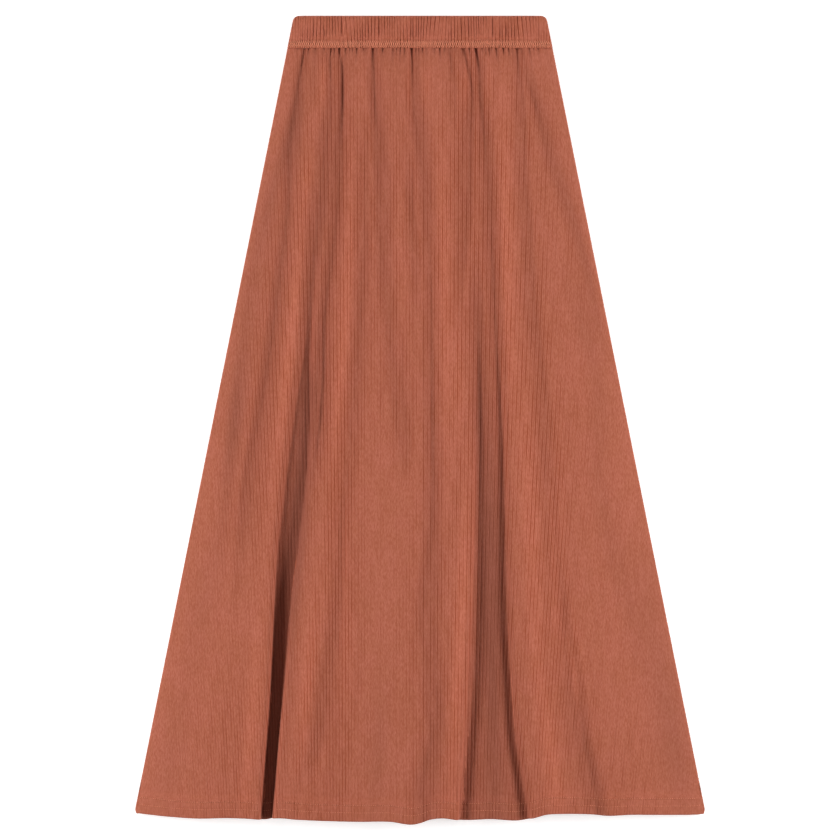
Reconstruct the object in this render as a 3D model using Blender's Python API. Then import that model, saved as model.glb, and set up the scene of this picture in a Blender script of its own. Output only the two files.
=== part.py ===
"""A long a-line skirt in fine rib knit, laid flat with its front up.

The skirt is four cut pieces: a front panel and a back panel, and an elastic casing on each.
It lies in the XY plane with its waist towards +Y. The back panel is flat on the surface at
Z = 0, and the front panel lies on it and stands up in the soft folds of a gathered skirt.
Every size in the tables is in millimetres; "down" is measured from the top edge of the waist
and "across" from the centre front, positive to the right.
"""
from typing import NamedTuple

import bpy
import numpy as np

MM = 0.001

# Driving sizes of the laid skirt, in millimetres
LENGTH = 968.4
HALF_WAIST = 151.4
FLARE = 0.2
HEM_LEVEL = 962.4
CLOTH = 1.35
SEAM_GAP = 0.3

# The casing: cloth folded over a flat elastic and sewn down with a wide cover stitch
CASING_HEIGHT = 38.7
CASING_THICKNESS = 3.3
CASING_CORNER = 6.0
CASING_ROUNDING = 2.5
CASING_SIDE_THINNING = 0.45

# The gathers: how many there are across, how high they stand, how fast they die out below
# the casing, and how unevenly they are spaced
GATHERS = 34
GATHER_RISE = 1.5
GATHER_FADE = 30.0
LONG_DRIFT = 0.30
SHORT_DRIFT = 0.18
MESH_COLUMNS_PER_GATHER = 4

# The hem is the cloth turned up once, so it is double there
HEM_ALLOWANCE = 18.0
HEM_RAMP = 6.0

# The rib knit, raised a little on the face of the front panel on every other mesh column
RIB_RISE = 0.25

# The front lies this far clear of the back, and the back stays this far inside the front
LAID_GAP = 0.4
SIDE_INSET = 0.2
HEM_INSET = 0.5

# The front's cross-section falls off to the side seams as this power of the distance out
CROWN_POWER = 5
LEAST_LEFT_OF_PUFF = 0.05
SIDE_CALM = 8
SLOPE_SAMPLE = 0.4

RUST = (0.41, 0.12, 0.07)
CASING_RUST = (0.39, 0.11, 0.065)
ROUGHNESS = 0.85


class Station(NamedTuple):
    """Where a fold runs at one distance down, and how it is shaped there."""
    down: float
    across: float
    floor: float
    left: float
    right: float
    depth: float


class Puff(NamedTuple):
    """How far the front stands above the back at one distance down."""
    down: float
    rise: float


class HemPoint(NamedTuple):
    """How far the hem reaches past the hem level at one place across."""
    across: float
    extra: float


class CasingRow(NamedTuple):
    """The casing at one distance down: its share of full thickness and of full gathers."""
    down: float
    rise: float
    ripple: float


PUFF = (
    Puff(38, 4.8), Puff(62, 7.5), Puff(101, 9.5), Puff(221, 10.5), Puff(341, 12.0),
    Puff(461, 15.0), Puff(581, 17.5), Puff(701, 20.0), Puff(860, 21.5), Puff(970, 21.0),
)

HEM_LINE = (
    HemPoint(-344, -11.0), HemPoint(-342, -6.6), HemPoint(-338, -5.8), HemPoint(-326, -4.6),
    HemPoint(-302, -2.5), HemPoint(-266, -0.6), HemPoint(-229, -1.4), HemPoint(-199, -0.2),
    HemPoint(-184, 1.2), HemPoint(-175, -0.8), HemPoint(-145, 0.6), HemPoint(-108, 2.0),
    HemPoint(-72, 2.8), HemPoint(-36, 2.8), HemPoint(-7, 6.0), HemPoint(1, 4.6),
    HemPoint(13, 0.4), HemPoint(24, -1.2), HemPoint(49, 1.4), HemPoint(85, 0.2),
    HemPoint(121, 1.5), HemPoint(134, -0.8), HemPoint(152, -5.6), HemPoint(170, -6.5),
    HemPoint(206, -5.6), HemPoint(218, -4.3), HemPoint(254, -6.4), HemPoint(285, -7.3),
    HemPoint(315, -6.0), HemPoint(327, -4.6), HemPoint(338, -5.4), HemPoint(342, -6.4),
    HemPoint(344, -11.0),
)

CASING_ROWS = (
    CasingRow(0.0, 0.45, 0.1), CasingRow(0.8, 0.8, 0.5), CasingRow(CASING_ROUNDING, 1.0, 0.8),
    CasingRow(15.0, 1.05, 1.0), CasingRow(24.5, 1.0, 0.8), CasingRow(26.5, 0.72, 0.3),
    CasingRow(29.5, 0.95, 0.5), CasingRow(CASING_HEIGHT, 0.9, 0.7),
)

# Each fold is a trough between two soft rolls. Its floor is the flat width at its foot, and
# left and right are the widths over which the cloth falls into it from either side.
FOLDS = {
    "far_left": (
        Station(170, -170, 0, 12, 14, 0.0), Station(240, -183, 0, 12, 16, 3.0),
        Station(317, -201, 0, 9, 20, 3.5), Station(413, -216, 0, 9, 16, 4.5),
        Station(521, -226, 0, 9, 12, 4.0), Station(605, -235, 0, 10, 12, 2.0),
        Station(720, -246, 0, 12, 14, 0.0),
    ),
    "left": (
        Station(38, -138, 0, 5, 5, 4.0), Station(55, -141.5, 0, 5, 6, 7.5),
        Station(101, -148.5, 0, 6, 7, 10.0), Station(150, -155, 0, 8, 7, 9.5),
        Station(220, -157, 0, 8, 8, 8.5), Station(317, -168, 0, 8, 10, 9.0),
        Station(461, -188, 0, 8, 11, 9.0), Station(560, -206, 0, 8, 12, 7.0),
        Station(650, -214, 0, 10, 12, 2.5), Station(750, -220, 0, 12, 12, 0.0),
    ),
    "left_tuck": (
        Station(38, -124.5, 0, 3, 3, 1.5), Station(60, -127, 0, 4, 4, 2.5),
        Station(90, -129.5, 0, 4, 5, 2.0), Station(125, -132, 0, 4, 5, 0.0),
    ),
    "left_pleat": (
        Station(38, -108, 1, 4, 3, 1.5), Station(55, -107.5, 1, 4, 3.5, 3.0),
        Station(101, -107, 1, 6, 5, 4.5), Station(173, -117, 2, 10, 7, 5.5),
        Station(269, -127, 2, 9, 8, 6.5), Station(341, -131, 2, 9, 6.5, 7.5),
        Station(400, -133.8, 3, 8, 5, 8.5), Station(461, -139.4, 14, 5.5, 4, 9.0),
        Station(521, -144.8, 21, 4.5, 4, 9.5), Station(581, -151, 24, 4, 3.5, 10.5),
        Station(641, -158, 24, 3.5, 3, 12.5), Station(701, -164, 19, 3, 3, 15.0),
        Station(761, -168, 16.5, 3, 3, 17.0), Station(821, -172.3, 13.5, 3, 3, 18.5),
        Station(881, -177.2, 12.5, 3, 3, 19.0), Station(929, -181, 12.5, 3, 3, 19.0),
        Station(968, -184.2, 12, 3, 3, 18.5),
    ),
    "left_pleat_inner": (
        Station(38, -97.5, 0, 4, 4, 1.5), Station(55, -94, 0, 5, 5, 4.0),
        Station(89, -92.5, 0, 5.5, 5, 6.5),
        Station(150, -94.5, 0, 7, 7, 5.5), Station(228, -98, 0, 8, 8, 6.0),
        Station(305, -107, 0, 8, 9, 6.5), Station(365, -114.5, 0, 7, 9, 7.0),
        Station(437, -116.5, 0, 6, 10, 7.0), Station(490, -120, 0, 5, 9, 6.0),
        Station(533, -124, 0, 4, 7, 3.0), Station(575, -128, 0, 4, 6, 0.0),
    ),
    "left_centre": (
        Station(90, -68, 0, 9, 6, 0.0), Station(150, -68, 0, 9, 7, 3.5),
        Station(221, -69, 0, 9, 8, 4.5), Station(317, -70.5, 0, 9, 8, 5.0),
        Station(413, -76, 0, 10, 9, 5.5), Station(510, -87, 0, 11, 10, 6.5),
        Station(605, -94, 0, 11, 9, 7.0), Station(725, -98, 0, 12, 10, 6.5),
        Station(797, -112, 0, 12, 10, 6.0), Station(870, -121, 0, 12, 8, 5.0),
        Station(930, -141, 0, 8, 8, 2.0), Station(968, -146, 0, 8, 8, 1.0),
    ),
    "centre_left": (
        Station(38, -56, 0, 4, 4.5, 2.0), Station(55, -56, 0, 5, 5.5, 3.5),
        Station(101, -54.5, 0, 6, 8, 5.5), Station(161, -49, 0, 7, 10, 5.0),
        Station(221, -45, 0, 9, 12, 4.5), Station(293, -41, 0, 10, 12, 4.5),
        Station(365, -32, 0, 11, 11, 4.5), Station(437, -25, 0, 11, 9, 4.5),
        Station(509, -19, 0, 9, 7, 3.5), Station(570, -17, 0, 8, 6, 0.0),
    ),
    "centre": (
        Station(38, -9.8, 0, 4.5, 6, 2.0), Station(55, -9.6, 0, 5, 7, 3.5),
        Station(101, -8.6, 0, 7, 10, 5.5), Station(137, -2, 0, 8, 11, 5.5),
        Station(221, 9.6, 0, 9, 8, 5.0), Station(293, 12.5, 0, 7, 9, 5.0),
        Station(461, 14.5, 0, 7.5, 9, 6.0), Station(581, 15, 0, 8, 9, 6.0),
        Station(653, 12.5, 0, 9, 11, 6.0), Station(725, 8.5, 0, 12, 13, 4.5),
        Station(790, 15, 0, 12, 9, 4.5), Station(860, 15.5, 0, 8, 13, 5.5),
        Station(930, 4, 0, 9, 14, 6.0), Station(968, 4.8, 0, 8, 10, 6.0),
    ),
    "centre_tuck": (
        Station(140, -12, 0, 6, 4, 0.0), Station(200, -11, 0, 6, 4, 3.0),
        Station(265, -7, 0, 6, 5, 3.0), Station(320, -4, 0, 6, 5, 2.0),
        Station(390, -3, 0, 6, 5, 0.0),
    ),
    "right_tuck": (
        Station(38, 32, 0, 3, 3, 1.0), Station(50, 37, 0, 3.5, 3.5, 2.0),
        Station(70, 39, 0, 4, 4, 2.0), Station(150, 38, 0, 4, 4, 1.0),
        Station(230, 37, 0, 5, 5, 0.0),
    ),
    "right_centre": (
        Station(38, 52, 0, 4, 4, 2.0), Station(55, 56, 0, 5, 5, 4.0),
        Station(83, 61, 0, 7, 5, 6.0), Station(101, 62, 0, 8, 5, 6.0),
        Station(161, 58, 0, 10, 6, 4.5), Station(221, 56, 0, 12, 6, 4.0),
        Station(293, 50, 0, 9, 6, 3.5), Station(341, 45, 0, 8, 6, 2.0),
        Station(400, 44, 0, 8, 5, 0.0),
    ),
    "right_pleat_inner": (
        Station(270, 66, 0, 7, 7, 0.0), Station(340, 68, 0, 8, 7, 4.5),
        Station(400, 69.8, 0, 7, 7, 5.5), Station(461, 70.8, 0, 6.5, 8, 6.5),
        Station(521, 71.3, 0, 7, 10, 7.0), Station(581, 71.3, 0, 8, 11, 7.0),
        Station(653, 70, 0, 7, 13, 7.0), Station(725, 67.5, 0, 5, 15, 7.0),
        Station(797, 64.5, 0, 4, 15, 7.0), Station(869, 58, 0, 3.5, 14, 7.0),
        Station(929, 51.8, 0, 3.5, 14, 7.0), Station(968, 48.5, 0, 3.5, 14, 7.0),
    ),
    "right_pleat_floor": (
        Station(300, 80, 10, 4, 4, 0.0), Station(437, 83, 24, 4, 4, 1.5),
        Station(509, 84.5, 30, 4, 3.5, 3.0), Station(581, 84.7, 34, 3.5, 3, 4.5),
        Station(653, 84.7, 38, 3, 3, 6.0), Station(725, 84.5, 43, 3, 3, 7.5),
        Station(797, 84.2, 51, 3, 3, 8.0), Station(869, 85, 61, 3, 3, 8.0),
        Station(929, 88, 75, 3, 3, 8.0), Station(968, 89.2, 84, 3, 3, 8.0),
    ),
    "right_pleat": (
        Station(38, 67, 0, 4, 4, 1.5), Station(55, 70, 0, 5, 5, 3.5),
        Station(101, 73, 0, 7, 6, 6.0),
        Station(161, 78.5, 0, 8, 8, 5.5), Station(221, 84, 0, 9, 8, 5.5),
        Station(293, 86.5, 0, 8, 8, 6.0), Station(365, 90, 0, 7, 8, 5.5),
        Station(437, 94.5, 0, 8, 6.5, 6.5), Station(509, 99, 0, 11, 4.5, 6.5),
        Station(581, 101, 0, 12, 4, 6.5), Station(653, 101.8, 0, 12, 4, 6.5),
        Station(725, 104, 0, 11, 3.5, 6.5), Station(797, 108.5, 0, 10, 3.5, 6.5),
        Station(869, 114.3, 0, 10, 3.5, 6.5), Station(929, 124, 0, 11, 3.5, 6.5),
        Station(968, 130, 0, 12, 3.5, 6.5),
    ),
    "right": (
        Station(38, 115.5, 0, 4, 4, 2.5), Station(55, 117.5, 0, 5, 4, 3.5),
        Station(101, 121, 0, 7, 5, 4.0),
        Station(161, 121.5, 0, 9, 6, 4.0), Station(293, 130, 0, 9, 7, 4.0),
        Station(365, 134, 0, 9, 8, 4.0), Station(437, 145, 0, 14, 6, 3.0),
        Station(509, 149, 0, 11, 12, 3.5), Station(581, 157, 0, 10, 8, 4.0),
        Station(653, 160, 0, 10, 8, 4.0), Station(725, 173, 0, 8, 7, 5.0),
        Station(797, 187, 0, 15, 8, 6.0), Station(869, 194.5, 0, 14, 8, 7.0),
        Station(929, 207.5, 0, 15, 9, 7.0), Station(968, 215, 0, 12, 8, 7.0),
    ),
    "far_right": (
        Station(40, 122, 0, 3, 4, 1.5), Station(75, 130, 0, 5, 7, 4.5),
        Station(101, 137, 0, 6, 9, 6.5),
        Station(161, 155, 0, 10, 10, 6.5), Station(221, 176, 0, 11, 8, 6.0),
        Station(290, 198, 0, 10, 5, 5.0), Station(365, 214, 0, 12, 4, 3.0),
        Station(430, 226, 0, 12, 4, 0.0),
    ),
    "low_right": (
        Station(400, 212, 0, 12, 14, 0.0), Station(480, 212, 0, 12, 14, 2.0),
        Station(560, 212, 0, 12, 14, 2.0), Station(653, 232, 0, 14, 14, 2.0),
        Station(725, 250, 0, 12, 14, 1.5), Station(820, 262, 0, 12, 14, 0.0),
    ),
}

# How many strips of cloth the front's mesh has between one guide line and the next
STRIPS_TO_LEFT_PLEAT = 22
STRIPS_ON_WALL = 2
STRIPS_ON_LEFT_FLOOR = 3
STRIPS_BETWEEN_PLEATS = 48
STRIPS_ON_RIGHT_FLOOR = 12
STRIPS_TO_RIGHT_SIDE = 33
LIP_REACH = 1.3

# Distances down at which the front's mesh has a row, above the turned-up hem
FRONT_ROWS = (39.0, 46.0, 56.0, 70.0, 90.0, 115.0, 150.0, 200.0, 260.0, 320.0, 380.0,
              440.0, 500.0, 560.0, 640.0, 720.0, 800.0, 880.0)


def smooth(table, column, place, key="down"):
    """The value of a column on a smooth curve through a table's rows."""
    at = np.array([getattr(row, key) for row in table], dtype=float)
    value = np.array([getattr(row, column) for row in table], dtype=float)
    slope = np.gradient(value, at)
    place = np.clip(place, at[0], at[-1])
    i = np.clip(np.searchsorted(at, place) - 1, 0, len(at) - 2)
    step = at[i + 1] - at[i]
    t = (place - at[i]) / step
    rise = t * t * (3 - 2 * t)
    return (value[i] * (1 - rise) + value[i + 1] * rise
            + step * t * (1 - t) * (slope[i] * (1 - t) - slope[i + 1] * t))


def half_width(down):
    """Half the width of the laid skirt: its side lines are straight."""
    return HALF_WAIST + FLARE * down


def trough(fold, across, down):
    """How much of a fold's depth is reached at a point, from 0 to 1."""
    offset = across - smooth(fold, "across", down)
    beyond = np.maximum(np.abs(offset) - smooth(fold, "floor", down) / 2, 0)
    side = np.where(offset < 0, smooth(fold, "left", down), smooth(fold, "right", down))
    return np.exp(-(beyond / side) ** 2)


def hem_down(share):
    """How far down the hem's edge is at a share of the half width."""
    across = share * half_width(HEM_LEVEL)
    return HEM_LEVEL + smooth(HEM_LINE, "extra", across, key="across")


def stack(across, down):
    """Height of the two panels where they lie flat on each other, double at the hem."""
    above_hem = hem_down(across / half_width(down)) - down
    turned_up = np.clip((HEM_ALLOWANCE + HEM_RAMP - above_hem) / (HEM_RAMP - 2), 0, 1)
    return 2 * CLOTH * (1 + turned_up) + LAID_GAP


def front_height(across, down):
    """Height of the face of the front panel, without its gathers and ribs."""
    puff = smooth(PUFF, "rise", down)
    height = puff * (1 - np.minimum(np.abs(across) / half_width(down), 1) ** CROWN_POWER)
    for fold in FOLDS.values():
        taken = np.clip(smooth(fold, "depth", down) / puff, 0, 1 - LEAST_LEFT_OF_PUFF)
        height = height * (1 - taken * trough(fold, across, down))
    return stack(across, down) + height


def gather(share):
    """Height of the gathers' ripple at a share of the half width, dying out at the sides."""
    turn = GATHERS * (share + 1) / 2
    turn = turn + LONG_DRIFT * np.sin(20.7 * share) + SHORT_DRIFT * np.sin(44.6 * share + 1)
    return GATHER_RISE * (0.5 + 0.5 * np.cos(2 * np.pi * turn)) * (1 - share ** SIDE_CALM)


def guide_shares(down):
    """Where the mesh's guide lines run, as shares of the half width: the lips and floors
    of the two deep pleats, so that no step shows along them."""
    left = FOLDS["left_pleat"]
    inner = FOLDS["right_pleat_inner"]
    right = FOLDS["right_pleat"]
    centre = smooth(left, "across", down)
    half_floor = np.maximum(smooth(left, "floor", down) / 2, 1.0)
    inner_foot = smooth(inner, "across", down)
    right_foot = smooth(right, "across", down)
    lines = (
        centre - half_floor - LIP_REACH * smooth(left, "left", down),
        centre - half_floor,
        centre + half_floor,
        centre + half_floor + LIP_REACH * smooth(left, "right", down),
        inner_foot - LIP_REACH * smooth(inner, "left", down),
        inner_foot,
        right_foot,
        right_foot + LIP_REACH * smooth(right, "right", down),
    )
    shares = [line / half_width(down) for line in lines]
    return [-np.ones_like(down)] + shares + [np.ones_like(down)]


def front_columns(down):
    """Share of the half width of each mesh column at one distance down."""
    strips = (STRIPS_TO_LEFT_PLEAT, STRIPS_ON_WALL, STRIPS_ON_LEFT_FLOOR, STRIPS_ON_WALL,
              STRIPS_BETWEEN_PLEATS, STRIPS_ON_WALL, STRIPS_ON_RIGHT_FLOOR, STRIPS_ON_WALL,
              STRIPS_TO_RIGHT_SIDE)
    knots = np.concatenate(([0], np.cumsum(strips)))
    guides = guide_shares(np.array(down, dtype=float))
    return np.interp(np.arange(knots[-1] + 1), knots, guides)


def to_world(across, down, height):
    """Points in metres, with the origin under the middle of the laid skirt."""
    return np.stack([across, LENGTH / 2 - down, height], axis=-1) * MM


def cloth_material(name, colour, roughness):
    """A plain cloth material of one colour."""
    material = bpy.data.materials.new(name)
    material.use_nodes = True
    shader = material.node_tree.nodes["Principled BSDF"]
    shader.inputs["Base Color"].default_value = (*colour, 1)
    shader.inputs["Roughness"].default_value = roughness
    shader.inputs["Metallic"].default_value = 0
    return material


def wall_piece(name, face, back, material):
    """A closed wall between two grids of points, the upper face and the lower back."""
    rows, columns = face.shape[:2]
    points = np.concatenate([face.reshape(-1, 3), back.reshape(-1, 3)])
    under = rows * columns

    def at(row, column):
        return row * columns + column

    quads = []
    for row in range(rows - 1):
        for column in range(columns - 1):
            a, b = at(row, column), at(row, column + 1)
            c, d = at(row + 1, column + 1), at(row + 1, column)
            quads.append((a, d, c, b))
            quads.append((a + under, b + under, c + under, d + under))
    rim = [at(0, column) for column in range(columns)]
    rim += [at(row, columns - 1) for row in range(1, rows)]
    rim += [at(rows - 1, column) for column in range(columns - 2, -1, -1)]
    rim += [at(row, 0) for row in range(rows - 2, 0, -1)]
    for a, b in zip(rim, rim[1:] + rim[:1]):
        quads.append((a, b, b + under, a + under))
    mesh = bpy.data.meshes.new(name)
    mesh.from_pydata(points.tolist(), [], quads)
    mesh.materials.append(material)
    mesh.shade_smooth()
    piece = bpy.data.objects.new(name, mesh)
    bpy.context.scene.collection.objects.link(piece)
    return piece


def front_panel(material):
    """The front: soft rolls and pleats over a wall of even thickness, doubled at the hem."""
    reach = hem_down(front_columns(HEM_LEVEL))
    rows = [(np.full_like(reach, down), 1) for down in FRONT_ROWS]
    rows += [(reach - HEM_ALLOWANCE - HEM_RAMP, 1), (reach - HEM_ALLOWANCE, 2), (reach, 2)]
    ribs = RIB_RISE * (np.arange(len(reach)) % 2)
    face, back = [], []
    for number, (down, layers) in enumerate(rows):
        share = np.array([front_columns(place)[i] for i, place in enumerate(down)])
        across = share * half_width(down)
        height = front_height(across, down)
        slope_across = (front_height(across + SLOPE_SAMPLE, down)
                        - front_height(across - SLOPE_SAMPLE, down)) / (2 * SLOPE_SAMPLE)
        slope_down = (front_height(across, down + SLOPE_SAMPLE)
                      - front_height(across, down - SLOPE_SAMPLE)) / (2 * SLOPE_SAMPLE)
        slope_across[[0, -1]] = 0
        slope_down[[0, -1]] = 0
        if number in (0, len(rows) - 1):
            slope_down[:] = 0
        inward = CLOTH * layers / np.sqrt(slope_across ** 2 + slope_down ** 2 + 1)
        relief = gather(share) * np.exp(-(down - CASING_HEIGHT) / GATHER_FADE) + ribs
        face.append(to_world(across, down, height + relief))
        back.append(to_world(across + inward * slope_across, down + inward * slope_down,
                             height - inward))
    return wall_piece("front_panel", np.array(face), np.array(back), material)


def back_panel(material):
    """The back: flat on the surface, a hair inside the front's outline."""
    share = np.linspace(-1, 1, 41)
    reach = hem_down(share) - HEM_INSET
    top = np.full_like(share, CASING_HEIGHT + SEAM_GAP)
    turned = reach - HEM_ALLOWANCE
    face, back = [], []
    for down, layers in ((top, 1), (turned - 1, 1), (turned, 2), (reach, 2)):
        across = share * (half_width(down) - SIDE_INSET)
        face.append(to_world(across, down, np.full_like(share, CLOTH * layers)))
        back.append(to_world(across, down, np.zeros_like(share)))
    return wall_piece("back_panel", np.array(face), np.array(back), material)


def casing_down(share, row):
    """How far down a casing's row is: the top edge is rounded off at the two corners."""
    corner = np.clip(np.abs(share) * HALF_WAIST - HALF_WAIST + CASING_CORNER, 0, None)
    top = CASING_CORNER - np.sqrt(np.maximum(CASING_CORNER ** 2 - corner ** 2, 0))
    return row.down + top * (1 - row.down / CASING_HEIGHT)


def waistband_front(material):
    """The front casing, gathered on its elastic, with a groove above its cover stitch."""
    base = CASING_THICKNESS + SEAM_GAP
    share = np.linspace(-1, 1, MESH_COLUMNS_PER_GATHER * GATHERS + 1)
    thickness = CASING_THICKNESS * (1 - CASING_SIDE_THINNING * share ** 12)
    face, back = [], []
    for row in CASING_ROWS:
        down = casing_down(share, row)
        across = share * half_width(down)
        height = base + thickness * row.rise + gather(share) * row.ripple
        face.append(to_world(across, down, height))
        back.append(to_world(across, down, np.full_like(share, base)))
    return wall_piece("waistband_front", np.array(face), np.array(back), material)


def waistband_back(material):
    """The back casing, plain and flat where it rests, with a rounded top edge."""
    share = np.linspace(-1, 1, 61)
    face, back = [], []
    for row in [row for row in CASING_ROWS if row.down <= CASING_ROUNDING] + [CASING_ROWS[-1]]:
        down = casing_down(share, row)
        across = share * (half_width(down) - SIDE_INSET)
        rise = 1 if row.down > CASING_ROUNDING else row.rise
        face.append(to_world(across, down, np.full_like(share, CASING_THICKNESS * rise)))
        back.append(to_world(across, down, np.zeros_like(share)))
    return wall_piece("waistband_back", np.array(face), np.array(back), material)


def main():
    for leftover in list(bpy.data.objects):
        bpy.data.objects.remove(leftover, do_unlink=True)
    front_panel(cloth_material("front_rib", RUST, ROUGHNESS))
    back_panel(cloth_material("back_rib", RUST, ROUGHNESS))
    waistband_front(cloth_material("front_casing_rib", CASING_RUST, ROUGHNESS))
    waistband_back(cloth_material("back_casing_rib", CASING_RUST, ROUGHNESS))


main()
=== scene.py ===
"""The looks of a long a-line skirt in fine rib knit, laid flat with its front up.

Each of its four cut pieces is a thin shell on the form of its solid, with the ribs of the
knit, the gathers under the casing and the soft folds of laid cloth. The stitching of the
casing and the hem is thread of its own. The sizes in the tables and the constants are in
millimetres: "down" is measured from the top edge of the waist and "across" from the centre
front, positive to the right. A "share" is a part of half the width, from -1 to 1.
"""

from functools import partial
from typing import NamedTuple

import bmesh
import bpy
import numpy as np
from bpy.props import FloatProperty, FloatVectorProperty, PointerProperty
from bpy.types import Operator, Panel, PropertyGroup
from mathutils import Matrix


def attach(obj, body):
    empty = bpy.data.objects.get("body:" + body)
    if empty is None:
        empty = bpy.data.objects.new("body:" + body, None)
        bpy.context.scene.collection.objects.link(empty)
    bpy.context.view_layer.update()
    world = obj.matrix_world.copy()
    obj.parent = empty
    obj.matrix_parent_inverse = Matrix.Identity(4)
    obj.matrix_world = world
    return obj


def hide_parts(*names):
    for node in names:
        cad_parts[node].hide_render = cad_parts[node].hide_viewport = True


bl_info = {
    "name": "A-line Skirt in Rib Knit",
    "version": (1, 0, 0),
    "blender": (4, 5, 0),
    "location": "View3D > Sidebar > Skirt",
    "description": "Makes the cloth, sewing and studio of a gathered a-line skirt laid flat",
    "category": "Add Mesh",
}

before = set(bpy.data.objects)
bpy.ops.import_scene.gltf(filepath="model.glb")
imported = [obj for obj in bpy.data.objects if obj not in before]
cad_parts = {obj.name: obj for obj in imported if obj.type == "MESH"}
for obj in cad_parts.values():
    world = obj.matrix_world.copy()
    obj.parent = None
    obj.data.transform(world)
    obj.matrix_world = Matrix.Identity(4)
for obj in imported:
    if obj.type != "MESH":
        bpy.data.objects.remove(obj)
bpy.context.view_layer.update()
BODY = "root"
MM = 0.001

# Driving sizes of the laid skirt. The second layer of the hem thins out over a ramp, which
# has its foot and its end these distances above the allowance.
LENGTH = 968.4
HALF_WAIST = 151.4
FLARE = 0.2
HEM_LEVEL = 962.4
CLOTH = 1.35
SEAM_GAP = 0.3
LAID_GAP = 0.4
SIDE_INSET = 0.2
HEM_INSET = 0.5
HEM_ALLOWANCE = 18.0
HEM_RAMP_FOOT = 2.0
HEM_RAMP_END = 6.0
CROWN_POWER = 5
LEAST_LEFT_OF_PUFF = 0.05

# The casing, and the gathers that its elastic makes in it and in the cloth below it
CASING_HEIGHT = 38.7
CASING_THICKNESS = 3.3
CASING_CORNER = 6.0
CASING_ROUNDING = 2.5
CASING_SIDE_THINNING = 0.45
CASING_SIDE_POWER = 12
CASING_END_ROUND = 0.3
GATHERS = 34
GATHER_RISE = 1.5
GATHER_FADE = 30.0
GATHER_SHARE_BELOW = 0.6
SIDE_CALM = 8
FINE_GATHERS = 50
FINE_GATHER_RISE = 2.0
FINE_GATHER_FADE = 9.0
FINE_GATHER_CHANGE = 0.5
FINE_GATHER_TURN = 2.4
FINE_GATHER_POWER = 1.5
TUCK_FADE = 1.5
SHOWN_GAP = 0.05
PANEL_TOP = CASING_HEIGHT + SHOWN_GAP

# The meshes: how many columns follow each rib of a panel, how close one may come to a side
# seam, how a shell is rounded at its edges, and the rows of a casing
COLUMNS_PER_RIB = 4
LEAST_STRIP = 0.3
HEM_ROUND = 1.3
HEM_ROUND_STEPS = (1.0, 0.62, 0.34, 0.14, 0.03, 0.0)
SIDE_ROUND = 1.1
INNER_COLUMNS = 150
INNER_ROWS = 50
TUCK_ROOM = 2.2
SHARP_FROM = np.radians(58)
PINCH = 0.2
PINCH_REACH = 4.0
SLOPE_SAMPLE = 0.4
CASING_COLUMNS = 620
CASING_BACK_COLUMNS = 80
CASING_LEVELS = (0.0, 0.25, 0.6, 1.1, 1.8, 2.6, 4.0, 6.0, 9.0, 12.0, 15.0, 18.0, 21.0, 23.5,
                 25.2, 26.2, 27.2, 28.4, 29.8, 31.2, 33.0, 35.0, 36.8, 37.8, 38.3, 38.6, 38.7)

# Painted shade: where the left pleat is painted darker inside, by its depth and by how much of
# that depth is reached, and how much painted shade other folds, tucks, fine gathers and dips get
PAINTED_SHADE_DEPTHS = (8.0, 17.5)
PAINTED_SHADE_REACHED = (0.25, 0.95)
VALLEY_PAINTED_SHADE = 0.4
TUCK_PAINTED_SHADE = 0.11
FINE_GATHER_PAINTED_SHADE = 0.4
CASING_DIP_PAINTED_SHADE = 0.1

# How strongly the ribs stand out on flat cloth, how much more they do in a valley, and how
# that changes: the scatter gives each rib a number of its own, and the two spells are the
# lengths over which it comes and goes along a rib
PLAIN_RIB = 0.17
VALLEY_RIB = 0.55
VALLEY_WIDTH = 2.6
VALLEY_FULL_AT = 5.0
GROOVE_WIDTH = 0.14
INNER_RIB = 0.5
LEAST_RIB = 0.6
RIB_CHANGE = 0.6
SCATTER = (12.9898, 43758.5453)
SPELLS = (37, 14)
SPELL_SHIFTS = (1.7, 2.9)

# The cover stitches: rows of needle thread, and looper threads that cross between them
WAIST_NEEDLE_ROWS = (30.4, 37.4)
HEM_NEEDLE_ROWS = (19.6, 10.8)
THREAD_LIFT = 0.12
BACK_THREAD = 0.45
THREAD_SIDES = 6
THREAD_ROUGHNESS = 0.6
STITCH_SHARE = 0.6
STITCH_ARCH = (-1.0, 0.6, 1.0, 0.6, -1.0)
STITCH_TAPER = (0.35, 0.9, 1.0, 0.9, 0.35)
ROW_OFFSET = 0.5
LOOPER_LIFT = 0.8
LOOPER_THICKNESS = 0.9
SEWN_SHARE = 0.992
ZIGZAG_POINTS = 4
WAIST_LOOPS = 130

# The relief of the casing: its ribs, gathers and tucks, and the heights of its faces
RIBS_ON_CASING = 82
CASING_RIB_GAIN = 2.3
CASING_RIB_MEAN = 0.85
CASING_RIB_CHANGE = 0.3
CASING_RIB_RATE = 17.0
CASING_RIB_SPELL = 9
CASING_RIBS_FULL_AT = 0.5
CASING_GATHER_SHARE = 0.5
CASING_TUCK_GAIN = 1.2
CASING_CALM = 30
FRONT_CASING_BASE = CASING_THICKNESS + SEAM_GAP
CASING_FACE = CASING_THICKNESS + GATHER_RISE / 2

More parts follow.
